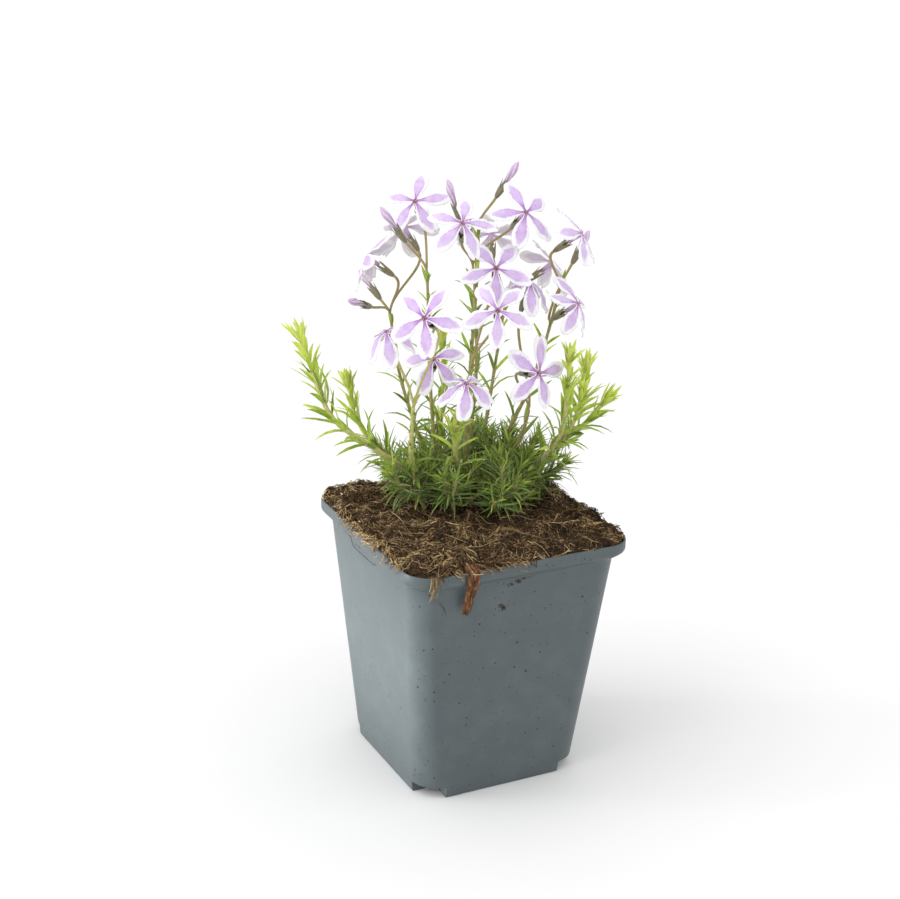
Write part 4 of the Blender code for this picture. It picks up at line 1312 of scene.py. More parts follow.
CROWN = np.array((4.0, 11.0, 0.0))
CLEARANCE = 0.45 * MM
LEAF_LIFT = 1.5 * MM
LEAF_BENDS = (
    (0, 0, 1), (0, 0.35, 1), (0.35, 0.1, 1), (-0.35, 0.1, 1),
    (0, 0.6, 0.85), (0.6, 0.3, 0.8), (-0.6, 0.3, 0.8), (0, 0, 0.6),
)
STEM_STEP = 11 * MM
FINE_STEP = 1.6 * MM
STEM_PLUMB = 2.5 * MM
HOLE_DEPTH = 8 * MM
STALK_RADIUS = 0.55 * MM
STALK_SEGMENTS = 3
FINE_SEGMENTS = 12
NEXT_TURN = 2.4
TUFTS = 11
TUFT_INNER = 6.5
TUFT_REACH = 15.5
TUFT_RADIUS = 1.2 * MM
TUFT_TIP_RADIUS = 0.7
TUFT_FOOT = 99
TUFT_RISE = 27
TUFT_DROOP = 0.45
TUFT_LEAN = 3
TUFT_SPREAD = 0.55
TUFT_SPACING = 3.8
TUFT_STEPS = 8
TUFT_SWINGS = (0, 25, -25, 50, -50, 75, -75)
GOLDEN_ANGLE = math.radians(137.5)
PETAL_LENGTH = 13.2 * MM
PETAL_STATIONS = ((0.0, 0.65), (0.32, 2.3), (0.64, 3.1), (0.94, 1.5))
PETAL_COUNT = 5
PETAL_RISE = math.radians(6)
PETAL_STEPS = 12
EYE_RADIUS = 1.0 * MM
TUBE_LENGTH = 4.6 * MM
CALYX_LENGTH = 7.5 * MM
CALYX_GAP = 0.3 * MM
BUD_LENGTH = 16 * MM
HEAD_RADIUS = 1.5 * MM
PETAL_ROOM = 2.7
BARE_TIP = 0.8 * MM
PAIR_SLACK = 0.3
LEAN_SLACK = 8
LENGTH_SLACK = (0.86, 1.1)
ADDED_WIDTH = 0.3 * MM
YOUNG_PART = 0.42
TIP_LEAVES = 9
OFFSHOOT_RUN = (5, 13)
OFFSHOOT_RISE = (4, 15)
OFFSHOOT_LIFT = 1.6 * MM
OFFSHOOT_REACH = 43 * MM
OFFSHOOTS = 8


@dataclass(frozen=True)
class LeafRule:
    """How leaves stand on a shoot: in pairs, each pair crossing the one below.

    The gaps, length and width are in millimetres and the angles in degrees. What comes in twos goes from
    the foot to the tip, and slim is how narrow the leaves are beside those of the CAD.
    """

    first: float
    gap_low: float
    gap_tip: float
    angle_low: float
    angle_tip: float
    length: float
    width: float
    slim: float
    ages: tuple[float, float]


class Habit(Enum):
    """The kinds of shoot."""

    CREEPING = LeafRule(0.12, 5.6, 3.5, 74, 24, 11.5, 1.6, 1.05, (0.3, 0.95))
    FLOWERING = LeafRule(0.22, 9.5, 7, 66, 34, 11, 1.5, 0.86, (0.3, 0.55))
    CUSHION = LeafRule(0.1, 1.45, 1.1, 86, 18, 10.6, 1.5, 0.52, (0.02, 0.5))


@dataclass(frozen=True)
class Extra:
    """How an added leaf differs: its length, its lean in degrees, its pull outwards and its breadth."""

    lengths: tuple[float, float]
    leans: tuple[float, float]
    pull: float
    breadth: float


class Added(Enum):
    """The kinds of leaf that stand beside the pairs."""

    YOUNG = Extra((0.95, 1.35), (8, 42), 0, 1.0)
    YOUNG_TIP = Extra((1.0, 1.45), (8, 28), 0, 1.0)
    AXIL = Extra((0.4, 0.8), (6, 48), 1.4, 0.75)
    TIP = Extra((0.5, 0.9), (6, 26), 0, 0.85)


@dataclass(frozen=True)
class Axis:
    """One stem: its route in millimetres, its radius at foot and tip, and what it carries."""

    route: tuple
    radius: tuple[float, float]
    habit: Habit
    blooms: tuple[str, ...] = ()
    buds: tuple = ()


@dataclass(frozen=True)
class Bloom:
    """A flower: the place of its eye in millimetres, where it faces, how far it folds back, its turn."""

    eye: tuple[float, float, float]
    faces: tuple[float, float, float]
    fold: float
    turn: float


def bloom_name(number: int) -> str:
    """The name of a flower's node."""
    return f"bloom_{number:02d}"


def runner(radius: tuple[float, float], *route: tuple[float, float, float]) -> Axis:
    """A creeping stem that bears leaves only."""
    return Axis(route, radius, Habit.CREEPING)


def stalk(radius: tuple[float, float], blooms: tuple[int, ...], buds: tuple, *route: tuple) -> Axis:
    """A stem that ends in flowers, given by their numbers, and buds, given by their places."""
    return Axis(route, radius, Habit.FLOWERING, tuple(map(bloom_name, blooms)), buds)


BLOOM_ROWS = (
    ((-41, -10, 177), (-0.42, -0.20, 0.88), 62, 18),
    ((-35, -27, 186), (-0.66, -0.55, 0.52), 22, 0),
    ((-20, -5, 163), (-0.35, -0.70, 0.62), 48, 30),
    ((-16, -23, 159), (-0.20, -0.42, 0.88), 56, 54),
    ((-4, -22, 184), (-0.38, -0.70, 0.60), 26, 54),
    ((12, -25, 160), (0.12, -0.94, 0.28), 18, 0),
    ((4, -5, 194), (-0.36, -0.72, 0.60), 28, 54),
    ((17, -7, 188), (0.10, -0.30, 0.95), 58, 18),
    ((32, -16, 181), (0.50, -0.62, 0.60), 34, 70),
    ((-12, 29, 212), (-0.50, -0.52, 0.70), 26, 22),
    ((-9, -3, 211), (-0.30, -0.60, 0.74), 30, 11),
    ((18, 0, 212), (0.05, -0.76, 0.64), 24, 25),
    ((38, -6, 204), (0.62, -0.50, 0.60), 30, 8),
    ((11, 31, 203), (-0.10, 0.35, 0.93), 40, 32),
    ((-26, 40, 190), (-0.62, 0.60, 0.50), 26, 12),
    ((-6, 50, 197), (-0.10, 0.82, 0.56), 30, 30),
    ((28, 44, 193), (0.30, 0.76, 0.58), 24, 0),
    ((44, 24, 185), (0.88, 0.10, 0.46), 34, 20),
)
BLOOMS = {bloom_name(number): Bloom(*row) for number, row in enumerate(BLOOM_ROWS, 1)}

STOUT, LONG_RUNNER, SIDE_SHOOT = (0.95, 0.6), (1.0, 0.6), (0.8, 0.5)
TALL = (0.85, 0.5)
SPRAYS = {
    "spray_front_left": (
        runner(
            (1.15, 0.6), (-1, 13, 99), (-9, 9, 106), (-18, 7, 112), (-30, 7.5, 122), (-41, 10, 130),
            (-49.5, 12.5, 137), (-54, 16.5, 146), (-56.5, 20.5, 157), (-58.5, 26, 167),
        ),
        stalk((1.05, 0.7), (1, 2, 3), (), (-17, 7.5, 111), (-22, 6, 120), (-25, 1, 131), (-27, -4, 145)),
        replace(
            runner(STOUT, (-5, 11, 102.5), (-3, 6, 111), (-6, 2, 120), (-9, -2, 131), (-11, -7, 140)),
            blooms=(bloom_name(4),),
        ),
    ),
    "spray_front": (
        stalk(STOUT, (5, 7), (), (4, 15, 100), (3, 12, 116), (1, 8, 132), (-2, 1, 150), (-3, -3, 160)),
    ),
    "spray_front_right": (
        stalk(STOUT, (6, 8), (), (11, 12, 100), (17, 8, 112), (20, 0, 126), (19, -7, 139)),
    ),
    "spray_right": (
        runner(
            (1.1, 0.6), (17, 5, 100), (22, -3, 113), (26, -12, 124), (27, -18, 134), (26, -22, 148),
            (23, -27, 165),
        ),
        runner(SIDE_SHOOT, (26, -14, 126), (30, -17, 132), (32, -19, 139), (33, -20, 146)),
        runner(SIDE_SHOOT, (24, -8, 119), (32, -11, 127), (38, -15, 134), (43, -19, 142)),
    ),
    "spray_left_tall": (
        stalk(
            TALL, (10,), ((-24, 22, 206),), (-3, 20, 99), (-7, 18, 122), (-11, 15, 148), (-13, 14, 175),
            (-14, 14, 190),
        ),
    ),
    "spray_middle_tall": (
        stalk(
            TALL, (11, 12), ((-2, 18, 214),), (7, 20, 100), (8, 17, 126), (6, 11, 152), (3, 8, 178),
            (2, 9, 192),
        ),
    ),
    "spray_back_tall": (
        stalk(
            TALL, (14,), ((22, 22, 219),), (10, 26, 100), (12, 28, 128), (12, 26, 158), (11, 22, 186),
            (10, 21, 203),
        ),
    ),
    "spray_right_tall": (
        stalk(
            TALL, (9, 13), ((44, 4, 196),), (15, 18, 100), (22, 13, 124), (27, 4, 148), (30, -1, 170),
            (32, -3, 184),
        ),
    ),
    "spray_back_left": (
        stalk(
            TALL, (15, 16), ((-34, 28, 176), (-20, 50, 176)), (-1, 26, 99), (-8, 31, 122), (-14, 36, 146),
            (-17, 38, 168),
        ),
    ),
    "spray_back_right": (
        stalk(TALL, (17, 18), ((40, 46, 172),), (16, 25, 100), (22, 31, 122), (27, 34, 146), (30, 34, 168)),
    ),
    "spray_trailing_back_left": (
        runner(LONG_RUNNER, (-8, 21, 99), (-14, 32, 106), (-20, 43, 113), (-25, 50, 123), (-27, 53, 136)),
    ),
    "spray_trailing_back": (
        runner(LONG_RUNNER, (6, 31, 99), (8, 42, 107), (13, 52, 117), (16, 57, 133), (15, 58, 148)),
    ),
    "spray_trailing_right": (
        runner(LONG_RUNNER, (21, 17, 99), (34, 16, 106), (46, 14, 115), (54, 14, 129), (57, 16, 144)),
    ),
}


def unit(way: np.ndarray) -> np.ndarray:
    """A direction of length one."""
    return way / np.linalg.norm(way)


def across(way: np.ndarray) -> tuple[np.ndarray, np.ndarray]:
    """Two directions at right angles to one, the first as level as it can be."""
    level = np.array((-way[1], way[0], 0.0))
    level = unit(level) if np.linalg.norm(level) >= 0.05 else np.array((1.0, 0.0, 0.0))
    return level, unit(np.cross(way, level))


def beside(way: np.ndarray, turn: float) -> np.ndarray:
    """The direction at right angles to one that lies a turn away from its level side."""
    level, upright = across(way)
    return level * math.cos(turn) + upright * math.sin(turn)


def leaning(way: np.ndarray, out: np.ndarray, lean: float) -> np.ndarray:
    """A direction that leans from one towards another at right angles to it."""
    return unit(way * math.cos(lean) + out * math.sin(lean))


def smooth_route(points: Sequence[np.ndarray], step: float) -> np.ndarray:
    """Points about a step apart on a smooth curve through the given ones."""
    whole = [points[0] * 2 - points[1], *points, points[-1] * 2 - points[-2]]
    made = [points[0]]
    for a, b, c, d in zip(whole, whole[1:], whole[2:], whole[3:]):
        count = max(1, round(np.linalg.norm(c - b) / step))
        square, cube = a * 2 - b * 5 + c * 4 - d, b * 3 - a - c * 3 + d
        for i in range(1, count + 1):
            t = i / count
            made.append((b * 2 + (c - a) * t + square * t**2 + cube * t**3) / 2)
    return np.array(made)


def arc_between(
    start: np.ndarray, leaving: np.ndarray, end: np.ndarray, arriving: np.ndarray, count: int
) -> np.ndarray:
    """Points of a curve that leaves one point and arrives at another in given directions."""
    span = np.linalg.norm(end - start)
    t = np.linspace(0, 1, count + 1)[:, None]
    return (
        start * (2 * t**3 - 3 * t**2 + 1)
        + leaving * span * (t**3 - 2 * t**2 + t)
        + end * (3 * t**2 - 2 * t**3)
        + arriving * span * (t**3 - t**2)
    )


def petal_frame(bloom: Bloom, index: int) -> tuple[np.ndarray, np.ndarray, np.ndarray, np.ndarray]:
    """A petal's own directions, outwards, sideways and up, and the place of its flower's eye."""
    faces = unit(np.array(bloom.faces))
    out = beside(faces, math.radians(bloom.turn) + math.tau * index / PETAL_COUNT)
    return out, np.cross(faces, out), faces, np.array(bloom.eye) * MM


def petal_line(fold: float, shares: Sequence[float], steps: int = PETAL_STEPS) -> np.ndarray:
    """Where a petal's middle line is at shares of its length, and its slope there: (out, up, slope)."""
    mids = (np.arange(steps) + 0.5) / steps
    slope = math.radians(fold) * np.minimum(1.0, 0.35 + 1.3 * mids) - PETAL_RISE
    step = PETAL_LENGTH / steps
    out = EYE_RADIUS + np.concatenate(([0], np.cumsum(step * np.cos(slope))))
    up = np.concatenate(([0], np.cumsum(-step * np.sin(slope))))
    at = np.array([round(share * steps) for share in shares])
    return np.column_stack((out[at], up[at], slope[np.minimum(at, steps - 1)]))


@dataclass(frozen=True)
class Head:
    """The stalk and the place of one flower's calyx, or of one bud."""

    stalk: np.ndarray
    way: np.ndarray
    length: float
    is_bud: bool


@dataclass(frozen=True)
class Leaf:
    """One leaf: where it is rooted, where it points, its size, its flat side, its arch and its youth."""

    root: np.ndarray
    way: np.ndarray
    flat: np.ndarray
    length: float
    width: float
    arch: float
    young: float


@dataclass(frozen=True)
class Site:
    """A place on a stem where a leaf can stand."""

    side: int
    root: np.ndarray
    way: np.ndarray
    tangent: np.ndarray
    length: float
    share: float


class Room:
    """What already stands in the air, as thick line pieces."""

    def __init__(self, most: int = 9000) -> None:
        """Makes room for a number of pieces."""
        self.ends = np.zeros((most, 2, 3))
        self.thick = np.zeros(most)
        self.owner = np.full(most, -1)
        self.count = 0
        self.names: dict[str, int] = {}

    def add(self, owner: str, a: np.ndarray, b: np.ndarray, radius: float) -> None:
        """Keeps the line from a to b, radius thick, as the owner's."""
        self.ends[self.count] = a, b
        self.thick[self.count] = radius
        self.owner[self.count] = self.names.setdefault(owner, len(self.names))
        self.count += 1

    def clear(
        self, owner: str, a: np.ndarray, b: np.ndarray, radius: float, until: int | None = None
    ) -> bool:
        """Tells whether a line keeps clear of every other owner's pieces.

        Args:
            owner: Whose pieces don't count.
            a: The line's start.
            b: Its end.
            radius: Its radius.
            until: How many of the pieces count, from the first.

        Returns:
            True if it does.
        """
        count = self.count if until is None else until
        others = self.owner[:count] != self.names.get(owner, -2)
        c, d = self.ends[:count][others].transpose(1, 0, 2)
        u, v, w = b - a, d - c, a - c
        uu, uv, vv = u @ u, v @ u, (v * v).sum(1)
        uw, vw = w @ u, (v * w).sum(1)
        spread = uu * vv - uv * uv
        flat = spread < 1e-16
        s = np.where(flat, 0.0, np.clip((uv * vw - vv * uw) / np.where(flat, 1, spread), 0, 1))
        t = np.clip((uv * s + vw) / np.maximum(vv, 1e-16), 0, 1)
        s = np.clip((uv * t - uw) / uu, 0, 1)
        gap = np.linalg.norm((a + u * s[:, None]) - (c + v * t[:, None]), axis=1)
        return bool((gap >= radius + self.thick[:count][others] + CLEARANCE).all())


class Growth:
    """Plans where every stem, stalk, head and leaf of the plant stands."""

    def __init__(self) -> None:
        """Plans the whole plant."""
        self.room = Room()
        self.feet: list[tuple[float, float]] = []
        self.sites: dict[str, list[tuple[Axis, Site, bool]]] = {}
        self.leaves: dict[str, list[Leaf]] = {}
        self.offshoots: dict[str, list[np.ndarray]] = {}
        self.reserve()
        self.shoots = {**SPRAYS, **self.tuft_axes()}
        self.solid = self.room.count
        for number, (name, axes) in enumerate(self.shoots.items()):
            self.leaves[name], self.sites[name] = [], []
            rng = random.Random(number)
            for order, axis in enumerate(axes):
                self.first_leaves(name, axis, order == 0, rng)
        for number, name in enumerate(self.shoots):
            self.more_leaves(name, random.Random(500 + number))

    @staticmethod
    def lines_of(
        axis: Axis, foot: bool, step: float, segments: int
    ) -> tuple[np.ndarray, list[Head]]:
        """A stem's points and the heads at its end.

        Args:
            axis: The stem.
            foot: Whether it stands in the soil.
            step: How far apart its points are.
            segments: How many pieces each stalk has.

        Returns:
            The stem's points, and its heads.
        """
        points = [np.array(p, float) * MM for p in axis.route]
        if foot:
            x, y = points[0][:2]
            level = soil_height(x, y)
            points[0][2] = level + STEM_PLUMB
            high = np.array((x, y, level - STEM_PLUMB))
            low = (x, y, level - HOLE_DEPTH + 2 * GAP)
            stem = np.vstack((low, smooth_route([high, *points], step)))
        else:
            stem = smooth_route(points, step)
        tip, along = stem[-1], unit(stem[-1] - stem[-2])
        start = tip - along * MM
        heads = []
        for name in axis.blooms:
            way = unit(np.array(BLOOMS[name].faces))
            low = np.array(BLOOMS[name].eye) * MM - way * (TUBE_LENGTH + CALYX_GAP + CALYX_LENGTH)
            heads.append(Head(arc_between(start, along, low, way, segments), way, CALYX_LENGTH, False))
        for bud in axis.buds:
            way = unit(np.array(bud) * MM - tip)
            low = np.array(bud) * MM - way * BUD_LENGTH / 2
            heads.append(Head(arc_between(start, along, low, way, segments), way, BUD_LENGTH, True))
        return stem, heads

    def reserve(self) -> None:
        """Takes the room of every stem, stalk, head and petal before any leaf is placed."""
        for name, axes in SPRAYS.items():
            for number, axis in enumerate(axes):
                stem, heads = self.lines_of(axis, number == 0, STEM_STEP, STALK_SEGMENTS)
                if number == 0:
                    self.feet.append(tuple(stem[0][:2]))
                for a, b in zip(stem, stem[1:]):
                    self.room.add(name, a, b, axis.radius[0] * MM)
                for head in heads:
                    for a, b in zip(head.stalk, head.stalk[1:]):
                        self.room.add(name, a, b, STALK_RADIUS)
                    low = head.stalk[-1]
                    self.room.add(name, low, low + head.way * head.length, HEAD_RADIUS)
        for (name, bloom), index in itertools.product(BLOOMS.items(), range(PETAL_COUNT)):
            out, _, faces, eye = petal_frame(bloom, index)
            line = petal_line(bloom.fold, [share for share, _ in PETAL_STATIONS])
            spots = eye + line[:, :1] * out + line[:, 1:2] * faces
            for a, b, (_, half_width) in zip(spots, spots[1:], PETAL_STATIONS[1:]):
                self.room.add(name, a, b, min(half_width, PETAL_ROOM) * MM)

    def tuft_axes(self) -> dict[str, tuple[Axis, ...]]:
        """The short dense shoots round the crown, each moved out or turned until it has room."""
        made = {}
        for k in range(TUFTS):
            name = f"tuft_{k + 1:02d}"
            turn = GOLDEN_ANGLE * k + 0.6
            ring = TUFT_INNER + TUFT_REACH * math.sqrt((k + 0.5) / TUFTS)
            out = np.array((math.cos(turn), math.sin(turn), 0))
            for step, swing in itertools.product(range(TUFT_STEPS), TUFT_SWINGS):
                foot = CROWN + out * (ring + step)
                a = math.radians(swing)
                aside = out * math.cos(a) + np.array((-out[1], out[0], 0)) * math.sin(a)
                axis = self.tuft_axis(foot, aside, ring)
                stem, _ = self.lines_of(axis, True, STEM_STEP, STALK_SEGMENTS)
                nearest = min(math.hypot(x / MM - foot[0], y / MM - foot[1]) for x, y in self.feet)
                free = all(self.room.clear(name, a, b, TUFT_RADIUS) for a, b in zip(stem, stem[1:]))
                if nearest > TUFT_SPACING and free:
                    break
            for a, b in zip(stem, stem[1:]):
                self.room.add(name, a, b, TUFT_RADIUS)
            self.feet.append((foot[0] * MM, foot[1] * MM))
            made[name] = (axis,)
        return made

    @staticmethod
    def tuft_axis(foot: np.ndarray, out: np.ndarray, ring: float) -> Axis:
        """A short stem that rises and leans outwards, more the further it stands from the crown."""
        rise, lean = TUFT_RISE - TUFT_DROOP * ring, TUFT_LEAN + TUFT_SPREAD * ring
        base = np.array((foot[0], foot[1], TUFT_FOOT))
        middle = base + out * lean * 0.35 + np.array((0, 0, rise * 0.55))
        top = base + out * lean + np.array((0, 0, rise))
        radius = (TUFT_RADIUS / MM, TUFT_TIP_RADIUS)
        return Axis((tuple(base), tuple(middle), tuple(top)), radius, Habit.CUSHION)

    @staticmethod
    def leaf_sites(route: np.ndarray, rule: LeafRule, rng: random.Random) -> Iterator[Site]:
        """Every place for a leaf along a stem, foot to tip."""
        lengths = [0.0]
        for a, b in zip(route, route[1:]):
            lengths.append(lengths[-1] + np.linalg.norm(b - a))
        whole = lengths[-1]
        at, pair = whole * rule.first, 0
        while at < whole - BARE_TIP:
            share = at / whole
            k = max(i for i, passed in enumerate(lengths[:-1]) if passed <= at)
            root = lerp(route[k], route[k + 1], (at - lengths[k]) / (lengths[k + 1] - lengths[k]))
            tangent = unit(route[k + 1] - route[k])
            for side in (0, 1):
                turn = math.pi / 2 * pair + math.pi * side + rng.uniform(-PAIR_SLACK, PAIR_SLACK)
                lean = lerp(rule.angle_low, rule.angle_tip, share**1.3)
                lean += rng.uniform(-LEAN_SLACK, LEAN_SLACK)
                way = leaning(tangent, beside(tangent, turn), math.radians(lean))
                length = rule.length * MM * (0.72 + 0.5 * math.sin(math.pi * min(1.0, share + 0.12)))
                yield Site(side, root, way, tangent, length * rng.uniform(*LENGTH_SLACK), share)
            at += lerp(rule.gap_low, rule.gap_tip, share) * MM
            pair += 1

    def place(
        self, owner: str, site: Site, width: float, until: int | None = None
    ) -> tuple[np.ndarray, float] | None:
        """A leaf's direction and length once it is clear of the rest, or None where there is no room."""
        level, _ = across(site.way)
        for bend_side, bend_up, part in LEAF_BENDS:
            way = unit(site.way + level * bend_side + np.array((0, 0, bend_up)))
            start, end = site.root + way * HEAD_RADIUS, site.root + way * site.length * part
            middle = (start[2] + end[2]) / 2
            floor = soil_height(end[0], end[1])
            high = min(end[2] - floor, middle - SOIL_EDGE) > LEAF_LIFT
            if high and self.room.clear(owner, start, end, width / 2, until):
                return way, site.length * part
        return None

    @staticmethod
    def leaf(
        axis: Axis, site: Site, way: np.ndarray, length: float, rng: random.Random, size: float
    ) -> Leaf:
        """A leaf at a site, its flat side towards the stem."""
        flat = np.cross(site.tangent, way)
        flat = unit(flat) if np.linalg.norm(flat) > 0.1 else across(way)[0]
        roll = rng.gauss(0, 0.3)
        flat = flat * math.cos(roll) + np.cross(way, flat) * math.sin(roll)
        arch = (0.05 + 0.16 * (1 - site.share)) * rng.uniform(0.3, 1.5)
        rule = axis.habit.value
        young = lerp(*rule.ages, site.share**1.5) + rng.gauss(0, 0.1)
        return Leaf(site.root, way, flat, length, rule.width * MM * size * rule.slim, arch, young)

    def first_leaves(self, name: str, axis: Axis, foot: bool, rng: random.Random) -> None:
        """The leaves that the CAD has: one of each pair, where it has room."""
        stem, _ = self.lines_of(axis, foot, STEM_STEP, STALK_SEGMENTS)
        width = axis.habit.value.width * MM
        own = random.Random(len(self.room.names) * 7 + self.room.count)
        for site in self.leaf_sites(stem[2:] if foot else stem, axis.habit.value, rng):
            placed = None if site.side else self.place(name, site, width)
            self.sites[name].append((axis, site, placed is not None))
            if placed is not None:
                way, length = placed
                self.room.add(name, site.root, site.root + way * length, width / 2)
                self.leaves[name].append(self.leaf(axis, site, way, length, own, 1.0))

    def more_leaves(self, name: str, rng: random.Random) -> None:
        """The other leaf of each pair, the small leaves in the axils, the tips and the offshoots."""
        tips: dict[int, tuple[Axis, Site]] = {}
        self.offshoots[name] = []
        for axis, site, taken in self.sites[name]:
            tips[id(axis)] = (axis, site)
            creeps = axis.habit is Habit.CREEPING
            if not taken:
                self.try_leaf(name, axis, site, rng, 1.0)
            if creeps and site.share > YOUNG_PART:
                kind, chances = Added.YOUNG, (2.1 * site.share - 0.5, site.share - 0.5)
            else:
                kind, chances = Added.AXIL, (1.25 - site.share,) * (1 if creeps else 2)
            for chance in chances:
                if rng.random() < chance:
                    self.add_leaf(name, axis, site, rng, kind)
        for axis, site in tips.values():
            if not axis.blooms and not axis.buds:
                kind = Added.YOUNG_TIP if axis.habit is Habit.CREEPING else Added.TIP
                for _ in range(TIP_LEAVES):
                    self.add_leaf(name, axis, replace(site, way=site.tangent, share=1.0), rng, kind)
        if name.startswith("tuft"):
            for index in range(OFFSHOOTS):
                self.offshoot(name, self.shoots[name][0], index, rng)

    def add_leaf(self, name: str, axis: Axis, site: Site, rng: random.Random, kind: Added) -> None:
        """Adds a leaf of its kind beside a site, close along its shoot."""
        extra = kind.value
        turn, lean = rng.uniform(0, math.tau), math.radians(rng.uniform(*extra.leans))
        out = beside(site.tangent, turn)
        if extra.pull:
            out = unit(out + extra.pull * site.way)
        way, length = leaning(site.tangent, out, lean), site.length * rng.uniform(*extra.lengths)
        self.try_leaf(name, axis, replace(site, way=way, length=length), rng, extra.breadth)

    def try_leaf(self, name: str, axis: Axis, site: Site, rng: random.Random, size: float) -> None:
        """Adds a leaf where stems, heads and petals leave it room."""
        placed = self.place(name, site, ADDED_WIDTH, self.solid)
        if placed is not None:
            self.leaves[name].append(self.leaf(axis, site, *placed, rng, size))

    def offshoot(self, name: str, axis: Axis, index: int, rng: random.Random) -> None:
        """A short side shoot low on a tuft, with its own pairs of leaves."""
        stem, _ = self.lines_of(axis, True, FINE_STEP, STALK_SEGMENTS)
        start = stem[int(len(stem) * rng.uniform(0.3, 0.6))]
        turn = GOLDEN_ANGLE * index * 1.7 + rng.uniform(-0.5, 0.5)
        out, up = np.array((math.cos(turn), math.sin(turn), 0)), np.array((0, 0, 1))
        run, rise = rng.uniform(*OFFSHOOT_RUN) * MM, rng.uniform(*OFFSHOOT_RISE) * MM
        middle = start + out * run * 0.5 + up * rise * 0.25
        route = smooth_route([start, middle, start + out * run + up * rise], 3 * MM)
        floor = np.array([soil_height(x, y) for x, y, _ in route]) + OFFSHOOT_LIFT
        route[:, 2] = np.maximum(route[:, 2], floor)
        if np.abs(route[-1, :2]).max() > OFFSHOOT_REACH:
            return
        self.offshoots[name].append(route)
        for site in self.leaf_sites(route, Habit.CUSHION.value, rng):
            shorter = replace(site, length=site.length * rng.uniform(0.7, 0.95))
            self.try_leaf(name, axis, shorter, rng, 0.9)


# The plant's pieces.


@dataclass
class Masters:
    """The shapes that repeat, each one modelled once."""

    leaf: Stamp = field(init=False)
    calyx: Stamp = field(init=False)
    bud: Stamp = field(init=False)
    anther: Stamp = field(init=False)

    def __post_init__(self) -> None:
        """Models them all."""
        self.leaf = self.model_leaf()
        self.calyx = self.model_calyx()
        self.bud = self.model_bud()
        self.anther = self.model_anther()

    @staticmethod
    def model_leaf() -> Stamp:
        """A needle leaf of length and half width one: grooved above, keeled below."""
        section = ((1, 0.16), (0, 0.0), (-1, 0.16), (-0.42, -0.36), (0.42, -0.36))
        stations = ((0, 0.55), (0.12, 0.8), (0.36, 1.0), (0.62, 0.92), (0.84, 0.58), (0.96, 0.22), (1.0, 0))
        obj = draw_out("leaf", section, stations)
        points = points_of(obj)
        size = np.interp(points[:, 2], *np.array([(z, max(s, 0.05)) for z, s in stations]).T)
        return Stamp.cut(obj, along=points[:, 2], across=points[:, 0] / size)

    @staticmethod
    def model_calyx() -> Stamp:
        """A ribbed cup with five pointed lobes, in millimetres, standing on its foot."""
        around, high, tip = 30, 4.3, 5.1
        section = fluted(around, 0.07)
        heights = ((0, 0.52), (0.5, 0.78), (1.6, 1.08), (3.2, 1.26), (4.4, 1.34), (5.2, 1.36))
        obj = draw_out("calyx", section, heights)
        points = points_of(obj)
        angle = np.arctan2(points[:, 1], points[:, 0])
        lobe = (0.5 + 0.5 * np.cos(PETAL_COUNT * angle)) ** 0.9
        upper, top = points[:, 2] > high, points[:, 2] > tip
        points[upper, 2] = high - 0.1 + 0.9 * lobe[upper]
        points[top, 2] = high + 3.3 * lobe[top] ** 1.6
        points[top, :2] *= (1 + 0.16 * lobe[top])[:, None]
        move_points(obj, points)
        take(obj)
        edit(True)
        bpy.ops.mesh.select_mode(type="FACE")
        bpy.ops.mesh.select_all(action="DESELECT")
        edit(False)
        for face in obj.data.polygons:
            face.select = len(face.vertices) == around and face.center.z > 3
        edit(True)
        bpy.ops.mesh.delete(type="ONLY_FACE")
        edit(False)
        apply(obj, "SOLIDIFY", thickness=0.16, offset=-1)
        points = points_of(obj)
        angle = np.arctan2(points[:, 1], points[:, 0])
        across_ = 0.5 + 0.5 * np.cos(PETAL_COUNT * angle)
        return Stamp.cut(obj, along=points[:, 2] / 7.5, across=across_)

    @staticmethod
    def model_bud() -> Stamp:
        """A furled bud, in millimetres: five petals wound round each other to a point."""
        depth, length = 0.11, 16
        widths = (
            (4.2, 0.85), (6.5, 0.8), (8.3, 0.92), (10, 1.2), (11.6, 1.42), (13, 1.36), (14.3, 1.02),
            (15.3, 0.58),
        )
        turned = [(z, w, 14.0) for z, w in widths]
        obj = draw_out("bud", fluted(20, depth), [*turned, (length, 0)])
        points = points_of(obj)
        size = np.interp(points[:, 2], *np.array((*widths, (length, 0.3))).T)
        fold = (np.hypot(points[:, 0], points[:, 1]) / size - 1) / depth
        return Stamp.cut(obj, along=points[:, 2] / length, across=np.clip(0.5 + 0.5 * fold, 0, 1))

    @staticmethod
    def model_anther() -> Stamp:
        """An anther of two lobes, in millimetres."""
        obj = add("ico_sphere", "anther", subdivisions=2, radius=1)
        points = points_of(obj)
        pinch = 1 - 0.45 * np.exp(-((points[:, 0] / 0.25) ** 2)) * np.abs(points[:, 1])
        move_points(obj, points * np.column_stack((pinch * 0.2, pinch * 0.17, pinch * 0.36)))
        return Stamp.cut(obj)


def set_out(
    stamp: Stamp, name: str, feet: Sequence[np.ndarray], ways: Sequence[np.ndarray]
) -> bpy.types.Object:
    """Copies of a shape in millimetres, each standing on its foot and pointing its way."""
    frames = []
    for index, way in enumerate(ways):
        side = beside(way, NEXT_TURN * index)
        frames.append((side, np.cross(way, side), way))
    places = np.array(feet)[:, None, :] + stamp.points @ (np.array(frames) * MM)
    return smooth(stamp.press(name, places), 60)


